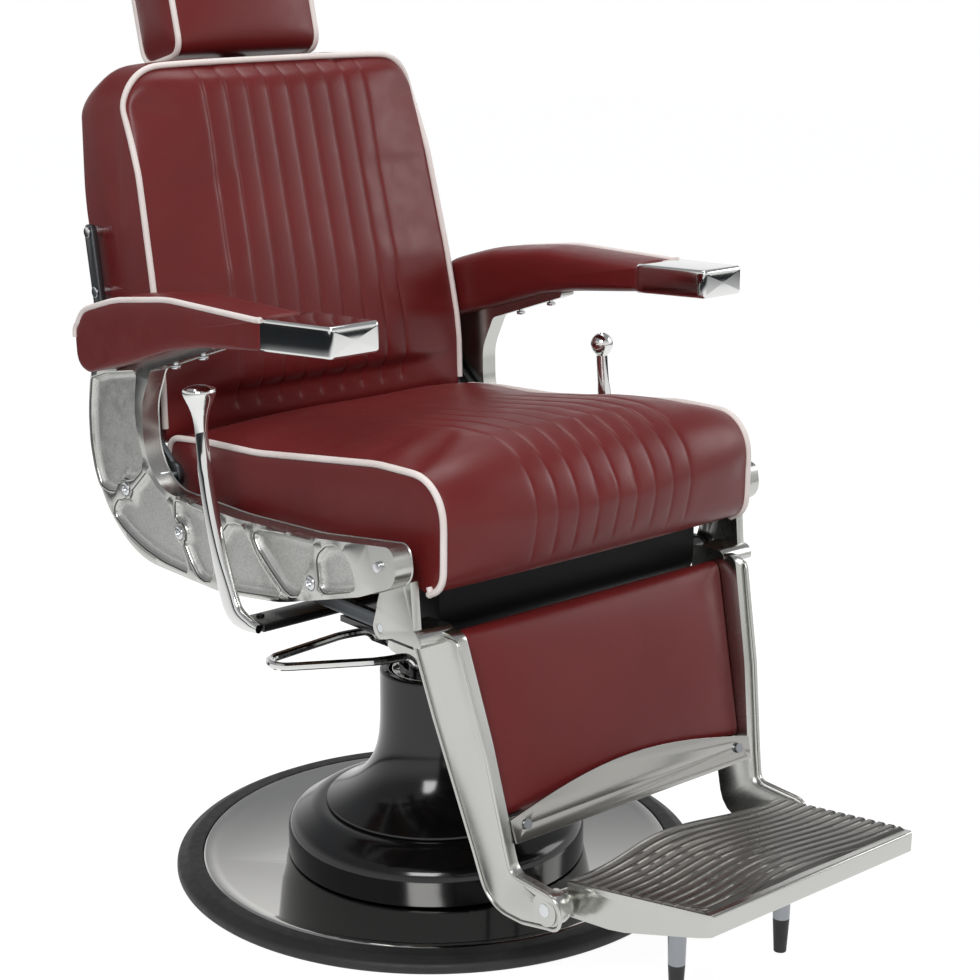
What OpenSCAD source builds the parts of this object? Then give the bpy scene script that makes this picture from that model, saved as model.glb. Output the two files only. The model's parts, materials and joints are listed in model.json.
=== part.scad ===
// Hydraulic barber chair: round base, foot-pumped column, reclining back with linked leg rest.
// Millimetres. Z is up, the chair faces -Y, and the origin is the base's centre on the floor.
// The occupant's right is -X. Outlines are written as [y, z, corner radius] seen from the side.

/* [Base] */
// Radius of the base over its rubber rim
base_r = 345; // [325:1:365]
// Radial width of the rubber rim
rim_w = 34; // [28:1:40]
// Height of the rubber rim
rim_h = 20; // [18:1:24]
// Thickness of the cast ballast plate
ballast_t = 12; // [10:1:14]
// Thickness of the polished base cover
sheet_t = 3; // [2:0.5:4]
// Radius of the skirt cover over the column's foot
skirt_r = 197; // [180:1:215]
// Height of the skirt cover's shoulder
skirt_h = 83; // [76:1:90]
// Radius of the column cover's lower lip
bell_r = 146; // [138:1:152]
// Radius of the column cover's neck
neck_r = 73; // [72:0.5:80]
// Height of the column cover
cover_h = 262; // [256:1:270]
// Wall of the moulded covers
cover_wall = 3; // [2.5:0.5:4]

/* [Pump] */
// Radius of the chromed ram
ram_r = 45; // [42:0.5:47]
// Wall of the ram
ram_wall = 8; // [6:0.5:10]
// Inner radius of the guide tube
tube_bore = 52; // [51:0.5:53]
// Wall of the guide tube
tube_wall = 8; // [6:0.5:8.5]
// Radius of the fixed piston rod
rod_r = 15; // [12:0.5:18]
// Lift travel of the ram
lift = 150; // [120:5:150]
// Radius of the ram's chromed cap
cap_r = 57; // [55:0.5:58]
// Radius of the pump head casting
head_r = 43; // [41:0.5:44]
// Radius of the swivel spindle
spindle_r = 22; // [20:0.5:24]
// Direction of the foot lever, seen from above
lever_dir = 168; // [160:1:175]
// Reach of the foot lever from the column's axis
lever_reach = 232; // [215:1:250]
// Radius of the foot lever's rod
lever_rod_r = 5.5; // [5:0.5:6.5]
// Radius of the pump plunger
plunger_r = 5; // [4.5:0.25:5.25]

/* [Chair body] */
// Distance from the centre plane to a side frame's inner face
half_w = 270; // [264:1:290]
// Thickness of a side frame
frame_t = 28; // [26:1:32]
// Depth of the cast recesses in a side frame
recess = 9; // [6:1:12]
// Space between the seat cushion's piping and a side frame
seat_side = 26; // [15:1:30]
// Crown of the seat cushion
seat_crown = 21; // [10:1:26]
// Space between the back cushion's piping and a side frame
back_side = 28.5; // [27:0.5:40]
// Crown of the back cushion
back_crown = 18; // [10:1:22]
// Number of sewn channel lines in the seat and the back
channels = 9; // [5:2:9]
// Spacing of the seat's channel lines
seat_pitch = 31; // [26:1:33]
// Spacing of the back's channel lines
back_pitch = 34.5; // [28:0.5:35]
// Width of an armrest at its rear end
arm_w = 76; // [70:1:80]
// Thickness of a recline link
link_t = 8; // [6:0.5:8]
// Thickness of a back arm
arm_plate_t = 8; // [6:0.5:8]

/* [Leg rest] */
// Inward jog of a leg below the seat
leg_jog = 50.5; // [46:0.5:56]
// Lean of the legs towards each other
leg_lean = 5.8; // [4:0.1:7]
// Thickness of a leg
leg_t = 16; // [14:1:18]
// Thickness of the calf pad
calf_t = 30; // [24:1:32]
// Crown of the calf pad
calf_crown = 10; // [4:1:10]
// Space between a leg's boss and the footplate's rear corner
plate_side = 6.5; // [6:0.5:18]
// Narrowing of the footplate towards its front, on each side
plate_taper = 11; // [6:1:20]
// Depth of the footplate from its rear edge to its front edge
plate_depth = 212; // [195:1:225]
// Distance of a footplate post from the centre plane
post_x = 88; // [70:1:110]

/* [Headrest] */
// Half width of the headrest
headrest_half = 114; // [100:1:140]
// Height of the headrest
headrest_h = 150; // [130:1:170]
// Depth of the headrest
headrest_d = 92; // [80:1:100]

/* [Hidden] */
$fn = 72;

// Clearances: a running fit, parts that lie against each other, and clear space beside cloth
fit = 0.05;
seat_gap = 0.3;
soft_gap = 1;

// Base heights
ballast_z = 0;
socket_floor = ballast_z + 4;
plate_z = ballast_z + ballast_t;
floor_z = plate_z + sheet_t;
cover_r = base_r - rim_w - seat_gap;
flange_r = 98;
flange_t = 12;
flange_z = plate_z + flange_t;
bolt_ring_r = 80;
bolt_r = 6;

// Pump heights
foot_h = 24;
foot_z = flange_z + 2;
ram_z = foot_z + foot_h;
cap_h = 26;
cap_z = cover_h + 4 - cap_h;
tube_top = cap_z - 4;
bush_clear = 8;
bush_h = tube_top - ram_z - lift - bush_clear;
head_z = cap_z + cap_h;
head_h = 22;
spindle_z = head_z + head_h;
washer_t = 3;
hub_z = spindle_z + washer_t + seat_gap;
hub_h = 34.7;
hub_r = 62;
hub_low_r = 50;
hub_boss_r = 36;
hub_boss_h = 14;
deck_z = hub_z + hub_h;
deck_t = 8;
nut_h = 10;
nut_z = hub_z + hub_h + hub_boss_h + seat_gap;
stud_r = 12;

// Foot lever: rocker shaft and plunger places along the lever's direction
shaft_r = 5.5;
shaft_a = stud_r + shaft_r + 3.5;
shaft_z = head_z + 12;
finger = ram_r - ram_wall - 0.5 - plunger_r - shaft_a;
roller_r = 4.5;
plunger_a = shaft_a + finger;
plunger_top = shaft_z;
lever_z = head_z + 44;
lever_half = 58;
tip_half = 22;
slot_w = 16;

// The outlines of the chair above the hub are drawn for this height of the hub's underside
drawn_hub_z = 291.3;
rise = hub_z - drawn_hub_z;

// Pivots, as [y, z]
recline_p = [200, 532];
leg_p = [-262, 523];
crank = [31, -85];
back_pin = recline_p + crank;
leg_pin = leg_p + crank;
foot_p = [-441, 146];
beam_ys = [138, -137];
stop_p = [261, 507];
beam_w = 44;
beam_h = 20;
beam_z = 465;
lever_p = [-54, 409];
pin_r = 7;
link_pin_r = 5;
link_play = 0.3;

// Planes beside the seat, outwards from the centre
seat_half = half_w - seat_side;
back_half = half_w - back_side;
ear_out = half_w - seat_gap;
ear_in = ear_out - 11.7;
arm_out = half_w - 4;
arm_in = arm_out - arm_plate_t;
link_out = min(ear_in, arm_in) - 0.5;
link_in = link_out - link_t;

// Seat stack
board_t = 12;
board_z = beam_z + beam_h;
seat_bottom = board_z + board_t;

// ---------- Outline helpers ----------

function unit(v) = v / norm(v);

// The points that round the corner q between its neighbours p and s with radius r.
// A right angle takes n steps, and a gentler turn fewer.
function corner(p, q, s, r, n) =
  let (a = unit(p - q), b = unit(s - q), half = acos(max(-1, min(1, a * b))) / 2)
  r == 0 || half > 89 ? [q] :
  let (c = q + unit(a + b) * r / sin(half), from = q + a * r / tan(half) - c, to = q + b * r / tan(half) - c)
  let (start = atan2(from[1], from[0]), raw = atan2(to[1], to[0]) - start)
  let (turn = raw > 180 ? raw - 360 : raw < -180 ? raw + 360 : raw)
  let (steps = max(1, round(n * abs(turn) / 90)))
  [for (k = [0:steps]) c + r * [cos(start + turn * k / steps), sin(start + turn * k / steps)]];

function flat(c) = [c[0], c[1]];

// A closed outline with every corner [a, b, r] rounded by n + 1 points
function rounded(cs, n = 6) =
  let (m = len(cs))
  [for (i = [0:m - 1]) each corner(flat(cs[(i + m - 1) % m]), flat(cs[i]), flat(cs[(i + 1) % m]), cs[i][2], n)];

function middle(ps) = [for (k = [0:len(ps[0]) - 1]) sum([for (p = ps) p[k]]) / len(ps)];
function sum(v, i = 0) = i == len(v) ? 0 : v[i] + sum(v, i + 1);

// A side outline, in [y, z], drawn out along X from x0 to x1
module along_x(x0, x1) {
  translate([x0, 0, 0])
    rotate([90, 0, 90])
      linear_extrude(x1 - x0)
        children();
}

// A round bar along X through p = [y, z]
module x_rod(x0, x1, p, r) {
  translate([x0, p[0], p[1]])
    rotate([0, 90, 0])
      cylinder(r = r, h = x1 - x0);
}

// One edge of a flat bar along the points ps, ws[i] wide at point i, on side s of its middle line
function bar_edge(ps, ws, s) =
  let (last = len(ps) - 1)
  [for (i = [0:last])
    let (d = unit(ps[min(i + 1, last)] - ps[max(i - 1, 0)]), out = i == 0 ? -1 : i == last ? 1 : 0)
    let (q = ps[i] + (out * d + s * [-d[1], d[0]]) * ws[i] / 2)
    [q[0], q[1], out == 0 ? 60 : ws[i] * 0.49]];

// A flat bar along the points ps, ws[i] wide at point i, with round ends
module bar(ps, ws) {
  left = bar_edge(ps, ws, 1);
  polygon(rounded(concat(bar_edge(ps, ws, -1), [for (i = [len(left) - 1:-1:0]) left[i]])));
}

module right_side() {
  mirror([1, 0, 0])
    children();
}

module both_sides() {
  children();
  right_side()
    children();
}

// Everything above the hub is drawn at the drawn height and lifted with the hub
module on_hub() {
  translate([0, 0, rise])
    children();
}

// The foot lever's own frame: X points along the lever
module on_lever() {
  rotate([0, 0, lever_dir])
    children();
}

// A closed skin over rings of equal length, each end closed by a fan to its middle.
// Each ring runs anticlockwise seen from the last ring's end.
module skin(rings) {
  m = len(rings);
  n = len(rings[0]);
  polyhedron(
    points = concat([for (r = rings) each r], [middle(rings[0]), middle(rings[m - 1])]),
    faces = concat(
      [for (i = [0:m - 2], j = [0:n - 1]) [i * n + j, (i + 1) * n + j, i * n + (j + 1) % n]],
      [for (i = [0:m - 2], j = [0:n - 1]) [i * n + (j + 1) % n, (i + 1) * n + j, (i + 1) * n + (j + 1) % n]],
      [for (j = [0:n - 1]) [m * n, j, (j + 1) % n]],
      [for (j = [0:n - 1]) [m * n + 1, (m - 1) * n + (j + 1) % n, (m - 1) * n + j]]
    ),
    convexity = 6
  );
}

// A tube of radius r swept along a path of points
function frame_at(path, i) =
  let (m = len(path), t = unit(path[min(i + 1, m - 1)] - path[max(i - 1, 0)]))
  let (side = abs(t[2]) > 0.9 ? unit(cross(t, [sin(lever_dir), -cos(lever_dir), 0])) : unit(cross([0, 0, 1], t)))
  [side, cross(t, side)];

module tube(path, r, sides) {
  skin([for (i = [0:len(path) - 1])
    let (f = frame_at(path, i))
    [for (k = [0:sides - 1]) path[i] + r * (cos(360 * k / sides) * f[0] + sin(360 * k / sides) * f[1])]]);
}

// ---------- Base ----------

module rubber_rim() {
  color("#17181a")
    rotate_extrude($fn = 144)
      polygon(rounded([
        [base_r - rim_w, 0, 0], [base_r, 0, 5], [base_r, rim_h * 0.62, 7],
        [base_r - rim_w * 0.45, rim_h, 12], [base_r - rim_w, rim_h, 1]
      ]));
}

module base_cover() {
  lip_w = 18;
  lip_h = 5;
  color("#d9dcdf")
    rotate_extrude($fn = 144)
      polygon([
        [flange_r + 2, plate_z], [cover_r - lip_w - 4, plate_z], [cover_r - sheet_t, plate_z],
        [cover_r - sheet_t, rim_h / 3], [cover_r, rim_h / 3], [cover_r, floor_z + lip_h - 2],
        [cover_r - 3, floor_z + lip_h], [cover_r - lip_w + 4, floor_z + lip_h - 2],
        [cover_r - lip_w - 4, floor_z], [flange_r + 2, floor_z]
      ]);
}

module ballast_plate() {
  color("#4a4c4f")
    difference() {
      translate([0, 0, ballast_z])
        cylinder(r = cover_r - 8, h = ballast_t, $fn = 144);
      for (k = [0:5])
        rotate(60 * k)
          translate([bolt_ring_r, 0, 0])
            cylinder(r = bolt_r + fit, h = 3 * ballast_t, center = true);
      translate([0, 0, socket_floor])
        cylinder(r = rod_r + fit, h = ballast_t);
    }
}

module base_bolts() {
  head_h_b = 8;
  color("#9a9da0")
    for (k = [0:5])
      rotate(60 * k)
        translate([bolt_ring_r, 0, 0]) {
          translate([0, 0, ballast_z + 1])
            cylinder(r = bolt_r, h = flange_z - ballast_z - 1);
          translate([0, 0, flange_z])
            cylinder(r = bolt_r * 1.8, h = head_h_b, $fn = 6);
        }
}

module skirt_cover() {
  w = cover_wall;
  color("#0d0d0e")
    rotate_extrude($fn = 120)
      difference() {
        polygon(rounded([
          [0, floor_z + seat_gap, 0], [skirt_r, floor_z + seat_gap, 0], [skirt_r, skirt_h * 0.72, 22],
          [bell_r + 14, skirt_h, 30], [0, skirt_h, 0]
        ]));
        polygon(rounded([
          [-1, floor_z - 1, 0], [skirt_r - w, floor_z - 1, 0], [skirt_r - w, skirt_h * 0.72 - w * 0.6, 20],
          [bell_r + 12, skirt_h - w, 28], [-1, skirt_h - w, 0]
        ]));
        translate([-1, 0])
          square([bell_r - 24, skirt_h + 1]);
      }
}

// Radius of the column cover at height z
function bell(z) =
  let (low = skirt_h + 4, t = (z - low) / (cover_h - low))
  neck_r + (bell_r - neck_r) * pow(1 - max(0, min(1, t)), 5);

// The cover's neck ends in a rolled rim that turns inwards round the ram's cap
module column_cover() {
  low = skirt_h + 4;
  steps = 18;
  rim_in = cap_r + 3;
  outer = [for (k = [0:steps]) let (z = low + (cover_h - low) * pow(k / steps, 1.6)) [bell(z), z]];
  inner = [for (k = [steps - 1:-1:1]) outer[k] - [cover_wall, 0]];
  color("#0b0b0c")
    rotate_extrude($fn = 120)
      polygon(concat(
        [[bell_r - cover_wall - 1, skirt_h + seat_gap], [bell_r, skirt_h + seat_gap]],
        outer,
        corner(outer[steps], [neck_r, cover_h + 6], [rim_in, cover_h + 6], 3.5, 6),
        corner([neck_r, cover_h + 6], [rim_in, cover_h + 6], [rim_in, cover_h - 4], 2.5, 6),
        [[rim_in, cover_h - 4]],
        inner,
        [[bell_r - cover_wall - 1, low - 1]]
      ));
}

module guide_tube() {
  outer = tube_bore + tube_wall;
  color("#5b5e62")
    difference() {
      union() {
        translate([0, 0, plate_z])
          cylinder(r = flange_r, h = flange_t);
        translate([0, 0, plate_z])
          cylinder(r = outer, h = tube_top - plate_z);
      }
      translate([0, 0, flange_z])
        cylinder(r = tube_bore, h = tube_top);
      translate([0, 0, plate_z - 1])
        cylinder(r = rod_r + fit, h = flange_t + 2);
      for (k = [0:5])
        rotate(60 * k)
          translate([bolt_ring_r, 0, plate_z - 1])
            cylinder(r = bolt_r + fit, h = flange_t + 2);
    }
}

module upper_bush() {
  color("#b08d4a")
    translate([0, 0, tube_top - bush_h])
      difference() {
        cylinder(r = tube_bore - 0.02, h = bush_h);
        translate([0, 0, -1])
          cylinder(r = ram_r + fit, h = bush_h + 2);
      }
}

module piston_rod() {
  rod_top = cap_z - 26;
  color("#c9ccd0") {
    translate([0, 0, socket_floor])
      cylinder(r = rod_r, h = rod_top - socket_floor);
  }
}

// ---------- Ram and pump head ----------

module ram_tube() {
  color("#dfe2e5")
    translate([0, 0, ram_z])
      difference() {
        cylinder(r = ram_r, h = cap_z - ram_z);
        translate([0, 0, -1])
          cylinder(r = ram_r - ram_wall, h = cap_z - ram_z + 2);
      }
}

module ram_foot() {
  color("#b08d4a")
    translate([0, 0, foot_z])
      difference() {
        cylinder(r = tube_bore - fit, h = foot_h);
        translate([0, 0, -1])
          cylinder(r = rod_r + fit, h = foot_h + 2);
      }
}

module ram_seal() {
  color("#1c1c1e")
    translate([0, 0, ram_z])
      difference() {
        cylinder(r = ram_r - ram_wall - 0.02, h = 8);
        translate([0, 0, -1])
          cylinder(r = rod_r + fit, h = 10);
      }
}

module ram_cap() {
  counterbore = plunger_r + 4;
  color("#e3e6e8")
    difference() {
      translate([0, 0, cap_z])
        cylinder(r = cap_r, h = cap_h);
      on_lever() {
        translate([plunger_a, 0, cap_z + 3])
          cylinder(r = counterbore, h = cap_h);
        translate([plunger_a, 0, cap_z - 1])
          cylinder(r = plunger_r + fit, h = cap_h);
        translate([-30, 0, cap_z + 4])
          cylinder(r = 8 + fit, h = cap_h);
      }
    }
}

module pump_head() {
  nose = plunger_a + plunger_r + 6;
  nose_half = slot_w / 2 + 12;
  color("#131315")
    on_lever()
      difference() {
        union() {
          translate([0, 0, head_z])
            cylinder(r = head_r, h = head_h);
          translate([0, -nose_half, head_z])
            cube([nose, 2 * nose_half, head_h - 3]);
          for (s = [-1, 1])
            translate([shaft_a, s * (lever_half - lever_rod_r - 1.5), shaft_z])
              rotate([s * 90, 0, 0])
                cylinder(r = shaft_r + 4, h = 20);
        }
        translate([shaft_a - shaft_r - 1.5, -slot_w / 2, shaft_z - 8])
          cube([nose, slot_w, head_h]);
        translate([shaft_a, lever_half, shaft_z])
          rotate([90, 0, 0])
            cylinder(r = shaft_r + fit, h = 2 * lever_half);
        translate([plunger_a, 0, head_z - 1])
          cylinder(r = plunger_r + fit, h = head_h);
        translate([0, 0, head_z + 6])
          cylinder(r = stud_r + 0.02, h = head_h);
      }
}

module valve_cartridge() {
  color("#b8933f")
    on_lever()
      translate([-30, 0, cap_z + 4])
        cylinder(r = 8, h = cap_h - 4 - 0.2);
}

module swivel_spindle() {
  color("#b9bcc0") {
    translate([0, 0, head_z + 6])
      cylinder(r = stud_r, h = head_h);
    translate([0, 0, spindle_z])
      cylinder(r = spindle_r, h = nut_z + nut_h - spindle_z);
  }
}

module thrust_washer() {
  color("#a9813f")
    translate([0, 0, spindle_z])
      difference() {
        cylinder(r = head_r - 2, h = washer_t);
        translate([0, 0, -1])
          cylinder(r = spindle_r + 0.02, h = washer_t + 2);
      }
}

module spindle_nut() {
  color("#8d9094")
    translate([0, 0, nut_z])
      difference() {
        cylinder(r = hub_boss_r - 3, h = nut_h, $fn = 6);
        translate([0, 0, -1])
          cylinder(r = spindle_r + 0.02, h = nut_h + 2);
      }
}

module pump_plunger() {
  collar_t = 3;
  color("#cfd2d5")
    on_lever()
      translate([plunger_a, 0, 0]) {
        translate([0, 0, cap_z - 12])
          cylinder(r = plunger_r, h = plunger_top - cap_z + 12);
        translate([0, 0, head_z - collar_t - seat_gap])
          cylinder(r = plunger_r + 3, h = collar_t);
      }
}

module plunger_spring() {
  wire = 1.1;
  turns = 4;
  low = cap_z + 3 + wire + 0.2;
  high = head_z - 3 - seat_gap - wire - 0.2;
  steps = 12 * turns;
  color("#8f9296")
    on_lever()
      translate([plunger_a, 0, 0])
        skin([for (i = [0:steps])
          let (a = 360 * turns * i / steps, z = low + (high - low) * i / steps, r = plunger_r + 2.1)
          [for (k = [0:5]) [
            (r + wire * cos(60 * k)) * cos(a),
            (r + wire * cos(60 * k)) * sin(a),
            z - wire * sin(60 * k)]]]);
}

// The loop is one bent rod: each arm hooks down behind the knee and runs back to the rocker shaft
bend_r = 18;
hook_a = 78;
knee_a = 104;
function lever_path() =
  let (tip_c = lever_reach - tip_half, spread = atan2(lever_half - tip_half, tip_c - knee_a))
  let (arm = concat(
    [for (k = [0:6]) let (a = (90 - spread) * k / 6) [tip_c + tip_half * cos(a), tip_half * sin(a), lever_z]],
    [for (k = [0:3]) [knee_a + 12 - 8 * k, lever_half - pow(3 - k, 2) * 0.35, lever_z]],
    [for (k = [0:4]) let (a = 90 + 16 * k)
      [hook_a + bend_r * cos(a), lever_half, lever_z - bend_r + bend_r * sin(a)]],
    [[shaft_a, lever_half, shaft_z]]
  ))
  concat([for (i = [len(arm) - 1:-1:1]) [arm[i][0], -arm[i][1], arm[i][2]]], arm);

module pump_lever() {
  eye_r = shaft_r + 3;
  color("#e0e3e5")
    on_lever()
      difference() {
        union() {
          tube(lever_path(), lever_rod_r, 12);
          for (s = [-1, 1])
            translate([shaft_a, s * lever_half + lever_rod_r, shaft_z])
              rotate([90, 0, 0])
                cylinder(r = eye_r, h = 2 * lever_rod_r);
        }
        translate([shaft_a, 2 * lever_half, shaft_z])
          rotate([90, 0, 0])
            cylinder(r = shaft_r + 0.02, h = 4 * lever_half);
      }
}

module lever_rocker() {
  finger_w = slot_w - 4;
  color("#2a2b2d")
    on_lever() {
      translate([shaft_a, lever_half + lever_rod_r, shaft_z])
        rotate([90, 0, 0])
          cylinder(r = shaft_r, h = 2 * (lever_half + lever_rod_r));
      translate([plunger_a, finger_w / 2, plunger_top + seat_gap + roller_r])
        rotate([90, 0, 0])
          cylinder(r = roller_r, h = finger_w);
      translate([shaft_a, -finger_w / 2, plunger_top + seat_gap + 1])
        cube([finger, finger_w, 2 * roller_r - 1]);
    }
}

// ---------- Swivelling seat frame ----------

module swivel_hub() {
  color("#d2d5d8")
    translate([0, 0, hub_z])
      difference() {
        rotate_extrude($fn = 96)
          polygon([
            [0, 0], [hub_low_r, 0], [hub_low_r, 2], [hub_r, 6], [hub_r, hub_h],
            [hub_boss_r, hub_h], [hub_boss_r, hub_h + hub_boss_h], [0, hub_h + hub_boss_h]
          ]);
        translate([0, 0, -1])
          cylinder(r = spindle_r + fit, h = hub_h + hub_boss_h + 2);
        for (k = [0:3])
          rotate(45 + 90 * k)
            translate([hub_low_r, 0, 8])
              cylinder(r = 4.02, h = hub_h);
      }
}

module hub_bolts() {
  for (k = [0:3])
    rotate(45 + 90 * k)
      translate([hub_low_r, 0, deck_z]) {
        translate([0, 0, -14])
          cylinder(r = 4, h = 14 + deck_t);
        translate([0, 0, deck_t])
          cylinder(r = 7, h = 6, $fn = 6);
      }
}

module underframe() {
  deck_half = 88;
  web_x = 78;
  web_t = 8;
  deck_drawn = deck_z - rise;
  color("#18191b")
    on_hub()
      difference() {
        union() {
          translate([-deck_half, -deck_half, deck_drawn])
            cube([2 * deck_half, 2 * deck_half, deck_t]);
          both_sides()
            along_x(web_x - web_t, web_x)
              polygon([
                [-deck_half, deck_drawn + deck_t / 2], [deck_half, deck_drawn + deck_t / 2],
                [beam_ys[0] + beam_w / 2, beam_z], [beam_ys[0] + beam_w / 2, beam_z + beam_h],
                [beam_ys[1] - beam_w / 2, beam_z + beam_h], [beam_ys[1] - beam_w / 2, beam_z]
              ]);
          for (y = beam_ys)
            translate([-ear_out, y - beam_w / 2, beam_z])
              cube([2 * ear_out, beam_w, beam_h]);
        }
        translate([0, 0, deck_drawn - 1])
          cylinder(r = hub_boss_r + seat_gap, h = deck_t + 2);
        for (k = [0:3])
          rotate(45 + 90 * k)
            translate([hub_low_r, 0, deck_drawn - 1])
              cylinder(r = 4 + seat_gap, h = deck_t + 2);
        x_rod(-web_x - 1, web_x + 1, lever_p, 8 + fit);
        both_sides()
          for (y = beam_ys)
            x_rod(ear_out - 34, ear_out + 1, [y, beam_z + beam_h / 2], 5.02);
      }
}

// The underside and the top of an armrest pad
arm_bottom = [[-101, 746, 0], [23, 731, 120], [89, 718, 100], [189, 686, 100], [278, 661, 16]];
arm_top = [[305, 668, 20], [309, 738, 46], [208, 767, 160], [90, 783, 160], [-101, 784, 0]];

// The side frame's outline, as [y, z, radius]. A tongue under the armrest follows the pad's underside.
tongue_tip = [56, 719];
tongue_root = [196, 672];
frame_outline = [
  arm_bottom[4], [338, 657, 8], [347, 590, 160], [347, 419, 152], [50, 417, 300],
  [-70, 434, 300], [-226, 479, 120], [-294, 508, 24], [-287, 550, 14], [-130, 528, 200],
  [20, 519, 300], [217, 520, 68], [219, 625, 60], [tongue_root[0], tongue_root[1], 14],
  [tongue_tip[0], tongue_tip[1], 2], [tongue_tip[0], tongue_tip[1] + 5.5, 1],
  arm_bottom[2], arm_bottom[3]
];

// Height of the underside of the tongue that carries the armrest, and the places of its screws
function tongue_low(y) =
  tongue_root[1] + (tongue_root[0] - y) * (tongue_tip[1] - tongue_root[1]) / (tongue_root[0] - tongue_tip[0]);
arm_screw_ys = [152, 90];

// Recessed fields between the cast ribs
frame_fields = [
  [[224, 667, 6], [300, 653, 20], [335, 641, 6], [343, 600, 100], [343, 556, 80], [335, 520, 60],
   [325, 499, 12], [307, 495, 10], [288, 497, 5], [279, 512, 5], [241, 524, 10], [221, 539, 12],
   [218, 556, 20], [229, 590, 60], [232, 612, 40], [230, 634, 40]],
  [[211, 540, 6], [203, 535, 40], [187, 523, 40], [170, 515, 20], [158, 504, 40], [145, 484, 30],
   [124, 436, 5], [122, 425, 5], [179, 427, 100], [227, 435, 100], [268, 449, 60], [293, 463, 12],
   [294, 476, 12], [284, 488, 10], [267, 493, 6], [242, 513, 20], [220, 532, 10]],
  [[148, 514, 5], [129, 518, 20], [106, 514, 20], [81, 513, 6], [73, 491, 40], [67, 460, 40],
   [66, 437, 12], [73, 426, 8], [86, 423, 10], [101, 426, 12], [115, 440, 20], [129, 460, 10],
   [129, 480, 8], [148, 494, 6]],
  [[57, 480, 8], [42, 499, 14], [32, 509, 12], [15, 514, 14], [0, 514, 10], [-14, 499, 60],
   [-33, 476, 100], [-58, 459, 20], [-74, 448, 4], [-74, 441, 4], [10, 428, 100], [54, 423, 6]],
  [[-23, 510, 5], [-38, 517, 14], [-71, 521, 100], [-103, 524, 100], [-143, 527, 4], [-144, 512, 30],
   [-121, 471, 20], [-119, 463, 10], [-111, 453, 8], [-97, 449, 8], [-83, 453, 12], [-58, 470, 60],
   [-32, 490, 20], [-23, 503, 5]],
  [[-148, 505, 6], [-152, 514, 14], [-165, 525, 14], [-183, 531, 14], [-198, 528, 12], [-212, 516, 30],
   [-220, 500, 30], [-221, 487, 5], [-211, 481, 10], [-175, 470, 60], [-161, 467, 6], [-152, 472, 8],
   [-150, 490, 30]]
];
boss_r = 13;

module frame_blank() {
  out = half_w + frame_t;
  difference() {
    along_x(half_w, out)
      polygon(rounded(frame_outline));
    difference() {
      for (f = frame_fields)
        along_x(out - recess, out + 1)
          polygon(rounded(f, 4));
      for (p = [[beam_ys[0], beam_z + beam_h / 2], [beam_ys[1], beam_z + beam_h / 2], stop_p])
        x_rod(out - recess - 1, out + 2, p, boss_r);
    }
    for (y = beam_ys) {
      x_rod(half_w - 1, out + 1, [y, beam_z + beam_h / 2], 5.3);
      x_rod(out - 5, out + 1, [y, beam_z + beam_h / 2], 9);
    }
    x_rod(half_w - 1, half_w + 16, stop_p, 5.02);
    x_rod(half_w + 14, out + 1, stop_p, 5.3);
    x_rod(out - 5, out + 1, stop_p, 9);
    x_rod(half_w - 1, half_w + 16, recline_p, pin_r + 0.02);
    x_rod(half_w - 1, out + 1, leg_p, pin_r - 1 + 0.02);
    for (y = arm_screw_ys)
      translate([half_w + frame_t / 2, y, tongue_low(y) - 12])
        cylinder(r = 3.3, h = 40);
  }
}

module side_frame_left() {
  color("#c8cbce")
    on_hub()
      frame_blank();
}

module side_frame_right() {
  color("#c8cbce")
    on_hub()
      right_side()
        frame_blank();
}

module frame_bolts() {
  out = half_w + frame_t;
  color("#dfe1e3") {
    hub_bolts();
    on_hub()
      both_sides() {
        for (y = beam_ys) {
          x_rod(ear_out - 30, out - 4, [y, beam_z + beam_h / 2], 5);
          x_rod(out - 5, out - 1, [y, beam_z + beam_h / 2], 8);
        }
        x_rod(arm_in - 1, out - 4, stop_p, 5);
        x_rod(out - 5, out - 1, stop_p, 8);
      }
  }
}

module pivot_pins() {
  color("#d0d3d6")
    on_hub()
      both_sides() {
        x_rod(arm_in, half_w + 15, recline_p, pin_r);
        x_rod(ear_in, half_w + frame_t + 0.5, leg_p, pin_r - 1);
      }
}

module seat_board() {
  edge = seat_half - 8;
  color("#6b5334")
    on_hub()
      translate([-edge, -284, board_z])
        cube([2 * edge, 284 + 214, board_t]);
}

// ---------- Cushions ----------

// Stations across a cushion: a narrow groove at every channel line, then the rounded side
function channel_stations(half, pitch, groove) =
  let (k0 = (channels - 1) / 2)
  concat(
    [[-half, 0], [-half + 5, 0], [-half + 22, 0], [-half + 58, 0]],
    [for (k = [-k0:k0]) each [[k * pitch - 5, 0], [k * pitch, groove], [k * pitch + 5, 0]]],
    [[half - 58, 0], [half - 22, 0], [half - 5, 0], [half, 0]]
  );

// How full the crown is at x, from 0 at the side to 1 in the middle
function fullness(x, half) = 1 - pow(min(1, abs(x) / half), 3.2);

// A cushion sewn from a side outline of [y, z], pushed out by crown along each point's own direction.
// push(i) gives each point's share of the crown, and half_at(p) the half width at that point.
function cushion_rings(outline, dirs, share, stations, half, crown, side_in) =
  [for (s = stations)
    let (x = s[0], e = half - abs(x), tuck = e < 5 ? side_in * (1 - e / 5) : 0)
    [for (i = [0:len(outline) - 1])
      let (out = crown * fullness(x, half) * share[i] - s[1] * min(1, 2 * share[i]) - tuck)
      [x, outline[i][0] + dirs[i][0] * out, outline[i][1] + dirs[i][1] * out]]];

// Outward unit normals of an outline that runs anticlockwise in the [y, z] plane
function normals(ps) =
  let (n = len(ps))
  [for (i = [0:n - 1])
    let (t = unit(ps[(i + 1) % n] - ps[(i + n - 1) % n])) [t[1], -t[0]]];

seat_outline = rounded([
  [226, seat_bottom, 6], [226, 584, 16], [40, 593, 240], [-198, 624, 160], [-317, 627, 50],
  [-315, 487, 30], [-292, 487, 4], [-290, seat_bottom, 0]
], 5);

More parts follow.
